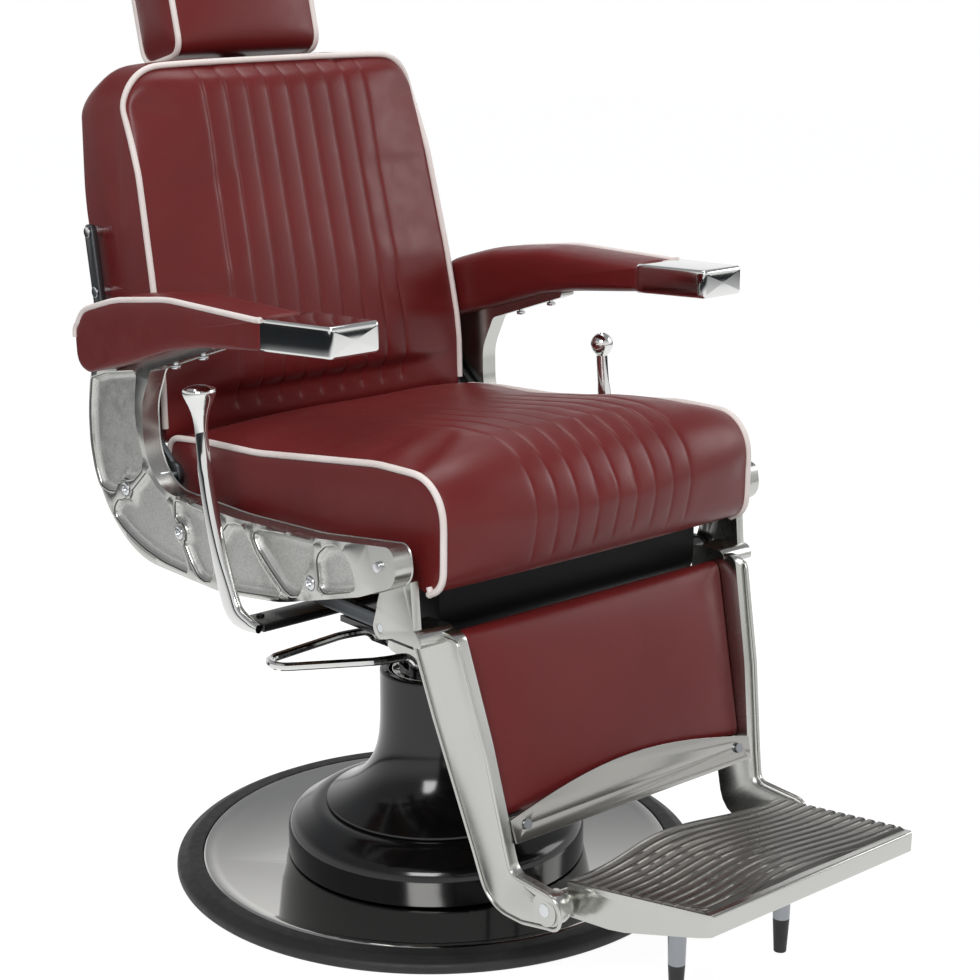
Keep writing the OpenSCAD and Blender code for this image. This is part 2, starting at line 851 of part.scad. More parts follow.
// Share of the crown: none along the flat bottom, all of it on the top and the front roll
seat_share = [for (p = seat_outline)
  p[1] < seat_bottom + 1 && p[0] > -300 ? 0 : p[0] > 150 ? max(0, min(1, (226 - p[0]) / 76)) * 0.9 :
  p[1] > 560 ? 1 : p[0] < -290 ? 0.9 * max(0.15, (p[1] - 470) / 90) : 1];

module seat_cushion() {
  color("#6b2a2b")
    on_hub()
      translate([0, 0, seat_gap])
        skin(cushion_rings(seat_outline, normals(seat_outline), seat_share,
                           channel_stations(seat_half, seat_pitch, 3.5), seat_half, seat_crown, 3));
}

module front_cover() {
  half = half_w - leg_jog - 11;
  w = cover_wall;
  low = 409;
  color("#0c0c0d")
    on_hub()
      difference() {
        along_x(-half, half)
          polygon(rounded([
            [-262, board_z - seat_gap, 6], [-262, low, 28], [-204, low, 20], [-204, board_z - seat_gap, 6]
          ]));
        along_x(-half + w, half - w)
          polygon(rounded([
            [-262 + w, board_z + 5, 0], [-262 + w, low + w, 25],
            [-204 + 9, low + w, 0], [-204 + 9, board_z + 5, 0]
          ]));
      }
}

// ---------- Armrests ----------

arm_x = half_w - 12;
core_outline = [[-196, 756, 2], [-196, 772, 2], [30, 772, 30], [172, 741, 4], [172, 722, 4], [26, 752, 30]];

module arm_core() {
  mid = arm_x + arm_w / 2;
  difference() {
    along_x(mid - 15, mid + 15)
      polygon(rounded(core_outline, 4));
    for (y = arm_screw_ys)
      translate([half_w + frame_t / 2, y, tongue_low(y)])
        cylinder(r = 3.02, h = 44);
  }
}

module arm_cores() {
  color("#7a6040")
    on_hub()
      both_sides()
        arm_core();
}

module arm_pad() {
  ps = rounded(concat(arm_bottom, arm_top), 4);
  c = middle(ps);
  mid = arm_x + arm_w / 2;
  steps = 10;
  difference() {
    translate([0, 0, seat_gap])
      skin([for (k = [0:steps])
        let (a = 180 * k / steps, x = mid - (arm_w / 2) * cos(a), t = pow(sin(a), 0.35))
        [for (p = ps)
          let (top = p[1] > 735 + (p[0] > 150 ? (150 - p[0]) * 0.25 : 0))
          let (crown = top ? 5 * (pow(sin(a), 2) - 1) * (p[0] < -95 ? 0.4 : 1) : 0)
          let (edge = (1 - t) * 4)
          [x, p[0] - (p[0] > 280 ? edge * 2 : 0), p[1] + crown * 1.2 - (top ? edge : 0)]]]);
    along_x(mid - 15 - seat_gap, mid + 15 + seat_gap)
      offset(delta = seat_gap)
        polygon(rounded(core_outline, 4));
    for (y = arm_screw_ys)
      translate([half_w + frame_t / 2, y, tongue_low(y) - 10])
        cylinder(r = 4, h = 56);
  }
}

module arm_pad_left() {
  color("#6b2a2b")
    on_hub()
      arm_pad();
}

module arm_pad_right() {
  color("#6b2a2b")
    on_hub()
      right_side()
        arm_pad();
}

module arm_cap() {
  w = 3;
  front_in = arm_x - 1;
  rear_y = -101 - seat_gap;
  color("#d6d9dc")
    difference() {
      intersection() {
        along_x(arm_x - 10, arm_x + arm_w + 10)
          polygon(rounded([[rear_y, 745, 0], [-222, 753, 4], [-225, 790, 4], [rear_y, 783, 0]], 4));
        translate([0, 0, 700])
          linear_extrude(150)
            polygon(rounded([
              [front_in, rear_y, 0], [front_in, -213, 6], [arm_x + arm_w - 9, -219, 8], [arm_x + arm_w, rear_y, 0]
            ], 4));
      }
      along_x(arm_x + 3, arm_x + arm_w - 8)
        polygon([[rear_y + 1, 748.5], [-214, 756], [-216, 786], [rear_y + 1, 780]]);
    }
}

module arm_cap_left() {
  on_hub()
    arm_cap();
}

module arm_cap_right() {
  on_hub()
    right_side()
      arm_cap();
}

module arm_screws() {
  head = 4;
  color("#e2e4e6")
    on_hub()
      both_sides()
        for (y = arm_screw_ys)
          translate([half_w + frame_t / 2, y, tongue_low(y) - 2.5]) {
            cylinder(r = 3, h = 44);
            translate([0, 0, -head])
              cylinder(r = 6, h = head);
          }
}

// ---------- Hand levers ----------

module lever_bar() {
  bar_w = 44;
  bar_t = 11;
  along_x(96, half_w + frame_t + 24)
    polygon(rounded([
      [lever_p[0] - bar_w / 2, lever_p[1] - bar_t / 2, 2], [lever_p[0] + bar_w / 2, lever_p[1] - bar_t / 2, 2],
      [lever_p[0] + bar_w / 2, lever_p[1] + bar_t / 2, 2], [lever_p[0] - bar_w / 2, lever_p[1] + bar_t / 2, 2]
    ], 3));
  x_rod(60, 100, lever_p, 8);
}

lever_plane = 24;

// A flat blade that curves up from the bar into a round stem
module lever_blade(stem_foot, stem_top) {
  x0 = half_w + frame_t + lever_plane;
  along_x(x0, x0 + 12)
    polygon(rounded([
      [-72, 404, 4], [-30, 400, 14], [6, 425, 30], [stem_foot[0] + 8, stem_foot[1], 0],
      [stem_foot[0] - 8, stem_foot[1], 0], [-14, 462, 60], [-40, 424, 20], [-72, 417, 4]
    ], 5));
  path = [
    [x0 + 6, stem_foot[0] - 0.6, stem_foot[1] - 8],
    [x0 + 6, (stem_foot[0] * 2 + stem_top[0]) / 3 + 5, (stem_foot[1] * 2 + stem_top[1]) / 3],
    [x0 + 6, (stem_foot[0] + stem_top[0] * 2) / 3 + 5, (stem_foot[1] + stem_top[1] * 2) / 3],
    [x0 + 6, stem_top[0], stem_top[1]]
  ];
  tube(path, 7.5, 16);
}

module recline_lever() {
  x0 = half_w + frame_t + lever_plane;
  color("#cfd2d5")
    on_hub()
      right_side() {
        lever_bar();
        lever_blade([6, 492], [34, 652]);
        translate([x0 + 6, 35, 666])
          rotate([-6, 0, 0])
            rotate_extrude()
              polygon([
                [0, -22], [7, -22], [8, -14], [13, -5], [20, 4], [20.5, 8], [18, 12.5], [10, 15], [0, 15.5]
              ]);
      }
}

module lock_lever() {
  x0 = half_w + frame_t + lever_plane;
  color("#cfd2d5")
    on_hub() {
      lever_bar();
      lever_blade([6, 492], [33, 626]);
      translate([x0 + 6, 36, 639])
        sphere(r = 17);
    }
}

// ---------- Backrest ----------

knees = [[303, 612], [357, 700], [366, 745], [379, 822]];

module back_arm() {
  difference() {
    along_x(arm_in, arm_out) {
      bar(concat([recline_p], knees), [26, 25, 22, 20, 20]);
      bar([recline_p, back_pin], [26, 26]);
      translate(recline_p)
        circle(r = 17);
    }
    x_rod(arm_in - 1, arm_out + 1, recline_p, pin_r + fit);
    x_rod(arm_in - 1, arm_out + 1, back_pin, link_pin_r + fit);
    for (p = [knees[3], knees[2]])
      x_rod(arm_in - 1, arm_out + 1, p, 4.3);
  }
}

module back_arm_left() {
  color("#55585c")
    on_hub()
      back_arm();
}

module back_arm_right() {
  color("#55585c")
    on_hub()
      right_side()
        back_arm();
}

// The rear of the back, as [y, z, radius], from the bottom to the top
shell_t = 6;
flange_wall = 4;
shell_half = back_half + flange_wall + 0.5;
rear_face = 418;
back_rear = [[346, 560, 0], [352, 600, 120], [398, 752, 160], [rear_face, 860, 160], [rear_face, 986, 0]];

module back_shell() {
  flange_w = 46;
  edge = rear_face - flange_w;
  color("#5a2324")
    on_hub() {
      difference() {
        along_x(-shell_half, shell_half)
          polygon(rounded(concat(
            [[346 - flange_w, 562, 4]], back_rear, [[edge, 986, 6], [edge, 860, 120], [398 - flange_w, 752, 140]]
          ), 5));
        along_x(-shell_half + flange_wall, shell_half - flange_wall)
          polygon(rounded(concat(
            [[346 - flange_w - 60, 540, 0]],
            [for (q = back_rear) [q[0] - shell_t, q[1] + (q[1] == 560 ? -20 : q[1] == 986 ? 20 : 0), q[2]]],
            [[edge - 80, 1006, 0], [398 - flange_w - 80, 752, 0]]
          ), 5));
        both_sides()
          for (p = [knees[3], knees[2]])
            x_rod(shell_half - 8, shell_half + 4, p, 3.02);
        translate([0, rear_face - shell_t / 2, knob_z])
          rotate([-90, 0, 0])
            cylinder(r = 3.02, h = 2 * shell_t, center = true);
      }
    }
}

back_outline = rounded([
  [240, 558, 14], [336, 566, 8], [344, 600, 120], [391, 752, 160], [411, 860, 160], [411, 1004, 26],
  [384, 1030, 18], [341, 1038, 26], [322, 962, 200], [268, 767, 300], [243, 657, 200]
], 4);

back_share = [for (p = back_outline)
  p[1] > 1020 ? (p[0] < 392 ? 0.25 : 0) :
  p[1] < 585 ? 0.1 :
  p[0] < 220 + (p[1] - 560) * 0.32 ? min(1, (p[1] - 560) / 90) : 0];

module back_cushion() {
  color("#6b2a2b")
    on_hub()
      skin(cushion_rings(back_outline, normals(back_outline), back_share,
                         channel_stations(back_half, back_pitch, 3.5), back_half, back_crown, 3));
}

module back_bolts() {
  color("#9fa2a5")
    on_hub()
      both_sides()
        for (p = [knees[3], knees[2]]) {
          x_rod(shell_half - flange_wall, arm_out + 2, p, 3);
          x_rod(shell_half + seat_gap, arm_in - seat_gap, p, 8);
          x_rod(arm_out + seat_gap, arm_out + 2.6, p, 7);
        }
}

// The headrest's bar slides in a socket on the shell, and the knob clamps it
socket_y = rear_face + seat_gap;
socket_z = 868;
socket_h = 116;
socket_half = 27;
socket_t = 17;
socket_wall = 4;
bar_half = 20;
bar_t = 8;
bar_y = socket_y + socket_wall;
bar_z = 874;
bar_h = 256;
bar_play = 0.4;
knob_z = 905;
knob_screw_r = 4;

module headrest_socket() {
  color("#8e9195")
    on_hub()
      difference() {
        translate([-socket_half, socket_y, socket_z])
          cube([2 * socket_half, socket_t, socket_h]);
        translate([-bar_half - bar_play, bar_y - bar_play, socket_z - 1])
          cube([2 * (bar_half + bar_play), bar_t + 2 * bar_play, socket_h + 2]);
        translate([0, bar_y + bar_t / 2, knob_z])
          rotate([-90, 0, 0])
            cylinder(r = knob_screw_r + 0.02, h = socket_t);
      }
}

module headrest_bar() {
  color("#dfe2e4")
    on_hub()
      translate([-bar_half, bar_y, bar_z])
        cube([2 * bar_half, bar_t, bar_h]);
}

module headrest_cushion() {
  lean = 14;
  ps = rounded([
    [0, 0, 22], [headrest_d, 0, 22], [headrest_d, headrest_h, 34], [0, headrest_h, 30]
  ], 5);
  half = headrest_half;
  stations = [-1, -0.985, -0.93, -0.82, -0.6, -0.3, 0, 0.3, 0.6, 0.82, 0.93, 0.985, 1];
  color("#6b2a2b")
    on_hub()
      difference() {
        translate([0, 381, 1042])
          rotate([-lean, 0, 0])
            skin([for (s = stations)
              let (full = 1 - pow(abs(s), 4), tuck = pow(abs(s), 24) * 7)
              let (c = [headrest_d / 2, headrest_h / 2])
              [for (p = ps)
                let (n = unit(p - c), bulge = 8 * full * (p[1] > 12 ? 1 : 0.2) - tuck)
                [s * half, p[0] + n[0] * bulge, p[1] + n[1] * bulge]]]);
        translate([-bar_half - bar_play, bar_y - bar_play, 1000])
          cube([2 * (bar_half + bar_play), bar_t + 2 * bar_play, bar_z + bar_h + bar_play - 1000]);
      }
}

module headrest_knob() {
  y0 = socket_y + socket_t;
  color("#161617")
    on_hub()
      translate([0, 0, knob_z])
        rotate([-90, 0, 0]) {
          translate([0, 0, bar_y + bar_t + 0.5])
            cylinder(r = knob_screw_r, h = 12);
          translate([0, 0, y0 + seat_gap])
            cylinder(r = 9, h = 8);
          translate([0, 0, y0 + seat_gap + 6])
            cylinder(r = 17, h = 14, $fn = 9);
        }
}

// ---------- Recline links ----------

module recline_links() {
  color("#a5a8ab")
    on_hub()
      both_sides()
        difference() {
          along_x(link_in, link_out)
            bar([leg_pin, back_pin], [18, 18]);
          for (p = [leg_pin, back_pin])
            x_rod(link_in - 1, link_out + 1, p, link_pin_r + 0.02);
        }
}

// Pins pressed into the links. The rear ones turn in the back arms, and the front ones have play in the legs.
module link_pins() {
  color("#d0d3d6")
    on_hub()
      both_sides()
        for (q = [[back_pin, arm_out], [leg_pin, ear_out]]) {
          x_rod(link_in, q[1], q[0], link_pin_r);
          x_rod(link_in - 2, link_in, q[0], link_pin_r + 3);
        }
}

// ---------- Leg rest ----------

// Inner face of a leg at height z
leg_top_in = half_w - leg_jog;
leg_top_z = 437;
function leg_in(z) = leg_top_in - (leg_top_z - z) * tan(leg_lean);

leg_outline = [
  [-250, 446, 8], [-250, 420, 30], [-276, 330, 60], [-326, 180, 60], [-345, 118, 40], [-400, 118, 20],
  [-441, 127, 18], [-462, 130, 14], [-462, 164, 14], [-441, 165, 18], [-384, 168, 16], [-376, 205, 40],
  [-355, 318, 100], [-322, 446, 14]
];

module leg() {
  difference() {
    union() {
      along_x(ear_in, ear_out) {
        bar([leg_p, [-240, 462]], [30, 30]);
        bar([[-262, 500], [-268, 470]], [34, 34]);
        translate(leg_pin)
          circle(r = 13);
        polygon([[-286, 505], [-292, 438], [-300, 431], [-252, 431], [-232, 425], [-218, 440], [-244, 520]]);
      }
      along_x(leg_top_in, ear_out)
        polygon(rounded([[-250, 431, 6], [-250, 447, 6], [-306, 450, 12], [-304, 431, 4]], 4));
      translate([leg_top_in, 0, leg_top_z])
        rotate([0, leg_lean, 0])
          translate([0, 0, -leg_top_z])
            intersection() {
              along_x(0, leg_t)
                polygon(rounded(leg_outline, 5));
              translate([-50, -600, 0])
                cube([200, 600, leg_top_z + 9]);
            }
      x_rod(leg_in(foot_p[1]) - 6, leg_in(foot_p[1]) + leg_t + 1.5, foot_p, 19);
    }
    x_rod(half_w - 40, half_w + 1, leg_p, pin_r - 1 + fit);
    x_rod(half_w - 40, half_w + 1, leg_pin, link_pin_r + link_play);
    x_rod(leg_in(foot_p[1]) - 20, leg_in(foot_p[1]) + leg_t + 20, foot_p, foot_pin_r + 0.02);
  }
}

module leg_left() {
  color("#dadddf")
    on_hub()
      leg();
}

module leg_right() {
  color("#dadddf")
    on_hub()
      right_side()
        leg();
}

// The shin's own frame: Z runs up the pad, -Y points out of its face
shin_p = [-363, 218];
shin_lean = 16.4;
shin_h = 229;

module on_shin() {
  translate([0, shin_p[0], shin_p[1]])
    rotate([-shin_lean, 0, 0])
      children();
}

// Half the space between the legs at height z up the shin and y behind the pad's face
function shin_half(z, y = 0) = leg_in(shin_p[1] + z * cos(shin_lean) - y * sin(shin_lean));

module calf_board() {
  low = 12;
  high = 216;
  back = calf_t + seat_gap + 6;
  color("#1d1e20")
    on_hub()
      on_shin()
        translate([0, back, 0])
          rotate([90, 0, 0])
            linear_extrude(6)
              polygon([
                [-shin_half(low, back) + seat_gap, low], [shin_half(low, back) - seat_gap, low],
                [shin_half(high, back) - seat_gap, high], [-shin_half(high, back) + seat_gap, high]
              ]);
}

module calf_pad() {
  ps = rounded([[0, 8, 8], [calf_t, 8, 4], [calf_t, shin_h, 8], [0, shin_h, 10]], 5);
  stations = [-1, -0.985, -0.95, -0.85, -0.6, -0.3, 0, 0.3, 0.6, 0.85, 0.95, 0.985, 1];
  color("#6b2a2b")
    on_hub()
      on_shin()
        skin([for (s = stations)
          [for (p = ps)
            let (face = p[0] < 9 ? 1 : 0, up = max(0, sin(180 * (p[1] - 8) / (shin_h - 8))))
            let (out = calf_crown * (1 - pow(abs(s), 6)) * up * face, tuck = pow(abs(s), 40) * 3 * face)
            [s * (shin_half(p[1], p[0]) - soft_gap), p[0] - out + tuck, p[1]]]]);
}

// Place of the kick plate's screws, in the shin's frame
kick_z = -2;
kick_x = shin_half(kick_z) - 21;

module kick_plate() {
  low = -20;
  side = 8;
  arch = 36;
  n = 16;
  color("#e4e7e9")
    on_hub()
      on_shin()
        translate([0, -11, 0])
          rotate([90, 0, 0])
            linear_extrude(3)
              difference() {
                polygon(concat(
                  [[-shin_half(low) + seat_gap, low], [shin_half(low) - seat_gap, low]],
                  [for (k = [0:n])
                    let (s = 1 - 2 * k / n)
                    [s * (shin_half(side) - seat_gap), side + (arch - side) * cos(90 * s)]]
                ));
                for (s = [-1, 1])
                  translate([s * kick_x, kick_z])
                    circle(r = 3.2);
              }
}

module kick_fittings() {
  color("#3a3c3f")
    on_hub()
      on_shin()
        both_sides() {
          difference() {
            translate([shin_half(-16, 15) - 34, -11 + seat_gap, -16])
              cube([34 - seat_gap, 26, 20]);
            translate([kick_x, 0, kick_z])
              rotate([90, 0, 0])
                cylinder(r = 3.02, h = 60, center = true);
          }
          translate([kick_x, 0, kick_z])
            rotate([90, 0, 0]) {
              translate([0, 0, -8])
                cylinder(r = 3, h = 22.5);
              translate([0, 0, 14 + seat_gap])
                cylinder(r = 6, h = 2.5);
            }
        }
}

// ---------- Footplate ----------

plate_tilt = 8.9;
plate_rear_p = [-446, 173];
plate_front_y = plate_rear_p[0] - plate_depth;
function plate_top(y) = plate_rear_p[1] + (plate_rear_p[0] - y) * tan(plate_tilt);
plate_t = 8;
rim_t = 9;
boss_out = leg_in(foot_p[1]) - 6 - seat_gap;
boss_len = 26;
plate_rear = boss_out - plate_side;
plate_front = plate_rear - plate_taper;
foot_pin_r = 8;
post_y = -533;
post_under = plate_top(post_y) - plate_t;
post_boss = 12;
post_foot = 34;
post_tip = 77;
post_low_r = 10;
stud_screw_r = 5;

module footplate() {
  front_z = plate_top(plate_front_y);
  rear_in = plate_rear_p[0] - rim_t;
  front_in = plate_front_y + rim_t;
  web_y = plate_rear_p[0] - 16;
  color("#b9bcbe")
    on_hub()
      difference() {
        union() {
          difference() {
            intersection() {
              along_x(-plate_rear - 1, plate_rear + 1)
                polygon(rounded([
                  [plate_rear_p[0], plate_rear_p[1], 3], [plate_rear_p[0], 132, 4], [plate_rear_p[0] - 76, 139, 120],
                  [plate_front_y + 20, front_z - 32, 60], [plate_front_y - 2, front_z - 24, 5],
                  [plate_front_y, front_z, 3]
                ], 5));
              linear_extrude(400)
                polygon(rounded([
                  [-plate_rear, plate_rear_p[0] + 1, 2], [plate_rear, plate_rear_p[0] + 1, 2],
                  [plate_front, plate_front_y - 3, 9], [-plate_front, plate_front_y - 3, 9]
                ], 4));
            }
            along_x(-plate_front + rim_t, plate_front - rim_t)
              polygon([
                [rear_in, plate_top(rear_in) - plate_t], [rear_in, 80],
                [front_in, 80], [front_in, plate_top(front_in) - plate_t]
              ]);
          }
          both_sides() {
            x_rod(boss_out - boss_len, boss_out, foot_p, 15);
            translate([post_x, post_y, post_under - post_boss])
              cylinder(r = 14, h = post_boss + plate_t / 2);
            along_x(boss_out - boss_len, min(boss_out, plate_rear - 2))
              polygon([[foot_p[0], foot_p[1] - 15], [foot_p[0], foot_p[1] + 15], [web_y, 168], [web_y, 138]]);
          }
        }
        both_sides() {
          x_rod(boss_out - boss_len - 4, boss_out + 1, foot_p, foot_pin_r + fit);
          translate([post_x, post_y, post_under - post_boss - 1])
            cylinder(r = stud_screw_r + 0.02, h = post_boss + 4);
        }
      }
}

module footplate_pins() {
  color("#d5d8da")
    on_hub()
      both_sides()
        x_rod(boss_out - boss_len, leg_in(foot_p[1]) + leg_t + 2, foot_p, foot_pin_r);
}

module footplate_posts() {
  shoulder = post_under - post_boss;
  color("#dfe2e4")
    on_hub()
      both_sides()
        translate([post_x, post_y, 0]) {
          translate([0, 0, post_tip])
            cylinder(r1 = post_low_r, r2 = post_low_r + 2, h = shoulder - post_tip);
          translate([0, 0, shoulder])
            cylinder(r = stud_screw_r, h = post_boss + 2);
          translate([0, 0, post_tip - 20])
            cylinder(r = stud_screw_r, h = 20);
        }
}

module post_tips() {
  color("#18181a")
    on_hub()
      both_sides()
        translate([post_x, post_y, post_foot])
          difference() {
            cylinder(r1 = 0.75 * post_low_r, r2 = post_low_r, h = post_tip - post_foot);
            translate([0, 0, post_tip - post_foot - 21])
              cylinder(r = stud_screw_r + 0.02, h = 22);
          }
}

rubber_rim();
base_cover();
ballast_plate();
base_bolts();
skirt_cover();
column_cover();
guide_tube();
upper_bush();
piston_rod();
ram_tube();
ram_foot();
ram_seal();
ram_cap();
pump_head();
valve_cartridge();
swivel_spindle();
thrust_washer();
spindle_nut();
pump_plunger();
plunger_spring();
pump_lever();
lever_rocker();
swivel_hub();
underframe();
side_frame_right();
side_frame_left();
frame_bolts();
pivot_pins();
seat_board();
seat_cushion();
front_cover();
arm_cores();
arm_pad_right();
arm_pad_left();
arm_cap_right();
arm_cap_left();
arm_screws();
recline_lever();
lock_lever();
back_arm_right();
back_arm_left();
back_shell();
back_cushion();
back_bolts();
headrest_socket();
recline_links();
link_pins();
headrest_bar();
headrest_cushion();
headrest_knob();
leg_right();
leg_left();
calf_board();
calf_pad();
kick_plate();
kick_fittings();
footplate();
footplate_pins();
footplate_posts();
post_tips();
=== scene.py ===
"""Looks of a hydraulic barber chair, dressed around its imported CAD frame.

Sizes are in millimetres and become metres where a mesh is made. The chair faces -Y and the
sitter's right is -X. Side outlines are written as (y, z, corner radius).
"""

import json
import logging
import math
from collections.abc import Sequence
from dataclasses import dataclass, field
from enum import Enum
from typing import Any

import bmesh
import bpy
from mathutils import Matrix, Vector
from mathutils.geometry import delaunay_2d_cdt
from mathutils.kdtree import KDTree

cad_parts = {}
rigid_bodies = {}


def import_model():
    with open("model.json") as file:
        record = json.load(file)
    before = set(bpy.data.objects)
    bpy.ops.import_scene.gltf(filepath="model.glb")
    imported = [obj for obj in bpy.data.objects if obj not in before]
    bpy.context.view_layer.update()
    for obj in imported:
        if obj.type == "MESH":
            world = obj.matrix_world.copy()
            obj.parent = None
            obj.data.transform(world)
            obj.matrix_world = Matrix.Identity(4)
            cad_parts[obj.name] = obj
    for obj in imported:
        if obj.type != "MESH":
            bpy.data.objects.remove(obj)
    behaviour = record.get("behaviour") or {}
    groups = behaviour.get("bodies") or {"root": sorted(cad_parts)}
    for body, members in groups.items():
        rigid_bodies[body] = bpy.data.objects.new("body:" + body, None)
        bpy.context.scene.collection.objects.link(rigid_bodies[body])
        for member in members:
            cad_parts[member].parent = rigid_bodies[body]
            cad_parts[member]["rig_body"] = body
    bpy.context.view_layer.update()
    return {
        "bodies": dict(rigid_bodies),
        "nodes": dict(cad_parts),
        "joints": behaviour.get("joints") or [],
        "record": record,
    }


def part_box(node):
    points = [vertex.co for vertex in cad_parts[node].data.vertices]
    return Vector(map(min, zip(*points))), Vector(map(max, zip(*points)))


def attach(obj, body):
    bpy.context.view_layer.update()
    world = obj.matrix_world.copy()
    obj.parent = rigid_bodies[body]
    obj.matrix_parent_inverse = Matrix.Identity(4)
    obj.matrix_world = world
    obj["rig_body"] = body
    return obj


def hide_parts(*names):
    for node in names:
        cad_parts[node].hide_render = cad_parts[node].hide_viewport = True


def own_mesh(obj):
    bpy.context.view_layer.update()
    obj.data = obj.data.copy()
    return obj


LOG = logging.getLogger("barber_chair")
MM = 0.001

Flat = tuple[float, float]
Corner = tuple[float, float, float]
Point = tuple[float, float, float]
Frame = dict[str, Any]
Piece = bpy.types.Object
Tree = bpy.types.NodeTree
Node = bpy.types.Node
Socket = bpy.types.NodeSocket


# ---------- Outlines and paths ----------


def fillet(corners: Sequence[Corner], steps: int = 8) -> list[Flat]:
    """Rounds the corners of a closed outline.

    Args:
        corners: corners as (a, b, radius), in order round the outline.
        steps: how many steps a right angle takes; a gentler turn takes fewer.

    Returns:
        The outline's points.
    """
    points: list[Flat] = []
    for i, (a, b, radius) in enumerate(corners):
        here = Vector((a, b))
        back = (Vector(corners[i - 1][:2]) - here).normalized()
        ahead = (Vector(corners[(i + 1) % len(corners)][:2]) - here).normalized()
        half = back.angle(ahead) / 2
        if radius == 0 or half > math.radians(89):
            points.append((a, b))
            continue
        centre = here + (back + ahead).normalized() * radius / math.sin(half)
        first = here + back * radius / math.tan(half) - centre
        last = here + ahead * radius / math.tan(half) - centre
        start = math.atan2(first.y, first.x)
        turn = (math.atan2(last.y, last.x) - start + math.pi) % (2 * math.pi) - math.pi
        count = max(1, round(steps * abs(turn) / (math.pi / 2)))
        for k in range(count + 1):
            angle = start + turn * k / count
            points.append((centre.x + radius * math.cos(angle), centre.y + radius * math.sin(angle)))
    return points


def resample(outline: Sequence[Flat], spacing: float) -> list[Flat]:
    """Spaces the points of a closed outline evenly.

    Args:
        outline: the outline's points.
        spacing: the distance between the new points.

    Returns:
        The evenly spaced points, which start at the same place.
    """
    closed = [Vector(p) for p in outline] + [Vector(outline[0])]
    lengths = [(closed[i + 1] - closed[i]).length for i in range(len(outline))]
    count = max(8, round(sum(lengths) / spacing))
    step = sum(lengths) / count
    points: list[Flat] = []
    edge, used = 0, 0.0
    for k in range(count):
        target = k * step
        while used + lengths[edge] < target:
            used += lengths[edge]
            edge += 1
        spot = closed[edge].lerp(closed[edge + 1], (target - used) / lengths[edge])
        points.append((spot.x, spot.y))
    return points


def normals(outline: Sequence[Flat]) -> list[Flat]:
    """Gives the outward unit normals of an outline that runs anticlockwise."""
    found: list[Flat] = []
    for i in range(len(outline)):
        along = Vector(outline[(i + 1) % len(outline)]) - Vector(outline[i - 1])
        along.normalize()
        found.append((along.y, -along.x))
    return found


def ease(value: float, low: float, high: float) -> float:
    """Rises smoothly from 0 at low to 1 at high."""
    share = min(1.0, max(0.0, (value - low) / (high - low)))
    return share * share * (3 - 2 * share)


def flow(path: Sequence[Point], rounds: int = 2, closed: bool = False) -> list[Point]:
    """Rounds a path off by cubic refinement, which also doubles its points each time.

    Args:
        path: the path's points.
        rounds: how many times it is refined.
        closed: whether the path joins up with its start.

    Returns:
        The smoother path, with the same ends where it is open.
    """
    points = [Vector(p) for p in path]
    for _ in range(rounds):
        count = len(points)
        finer: list[Vector] = []
        for i, here in enumerate(points):
            if closed or 0 < i < count - 1:
                finer.append((points[i - 1] + here * 6 + points[(i + 1) % count]) / 8)
            else:
                finer.append(here)
            if closed or i < count - 1:
                finer.append((here + points[(i + 1) % count]) / 2)
        points = finer
    return [tuple(p) for p in points]


def within(outline: Sequence[Flat], spot: Flat) -> bool:
    """Says whether a spot lies inside an outline."""
    inside = False
    for i, (a, b) in enumerate(outline):
        c, d = outline[i - 1]
        if (b > spot[1]) != (d > spot[1]) and spot[0] < (c - a) * (spot[1] - b) / (d - b) + a:
            inside = not inside
    return inside


def circle(count: int) -> list[Flat]:
    """Gives evenly spaced directions all the way round, as (cosine, sine)."""
    turns = [2 * math.pi * k / count for k in range(count)]
    return [(math.cos(turn), math.sin(turn)) for turn in turns]


def leaned(y: float, z: float, lean_deg: float, foot: Flat) -> Flat:
    """Leans a point of a cushion's own frame back round its foot.

    Args:
        y: the point's place in front of the foot or behind it.
        z: its height over the foot.
        lean_deg: how far the cushion leans back.
        foot: the foot, as the chair's (y, z).

    Returns:
        The point as the chair's (y, z).
    """
    along, across = math.cos(math.radians(lean_deg)), math.sin(math.radians(lean_deg))
    return (foot[0] + y * along + z * across, foot[1] + z * along - y * across)


def nearest(outline: Sequence[Flat], spot: Flat) -> int:
    """Gives the index of the outline's point nearest to a spot."""
    return min(range(len(outline)), key=lambda i: (Vector(outline[i]) - Vector(spot)).length)


# ---------- Meshes ----------


def put(name: str, data: bpy.types.ID) -> Piece:
    """Makes an object of its data and links it to the scene.

    Args:
        name: the object's name.
        data: its mesh, curve, lens or light.

    Returns:
        The object.
    """
    made = bpy.data.objects.new(name, data)
    bpy.context.scene.collection.objects.link(made)
    return made


def new_piece(name: str, vertices: Sequence[Point], faces: Sequence[Sequence[int]]) -> Piece:
    """Makes an object from vertices in millimetres.

    Args:
        name: the piece's name.
        vertices: its points, in millimetres.
        faces: its faces, as indices of the points.

    Returns:
        The object, with its normals turned outwards.
    """
    mesh = bpy.data.meshes.new(name)
    mesh.from_pydata([tuple(c * MM for c in v) for v in vertices], [], faces)
    work = bmesh.new()
    work.from_mesh(mesh)
    bmesh.ops.recalc_face_normals(work, faces=work.faces)
    work.to_mesh(mesh)
    work.free()
    return put(name, mesh)


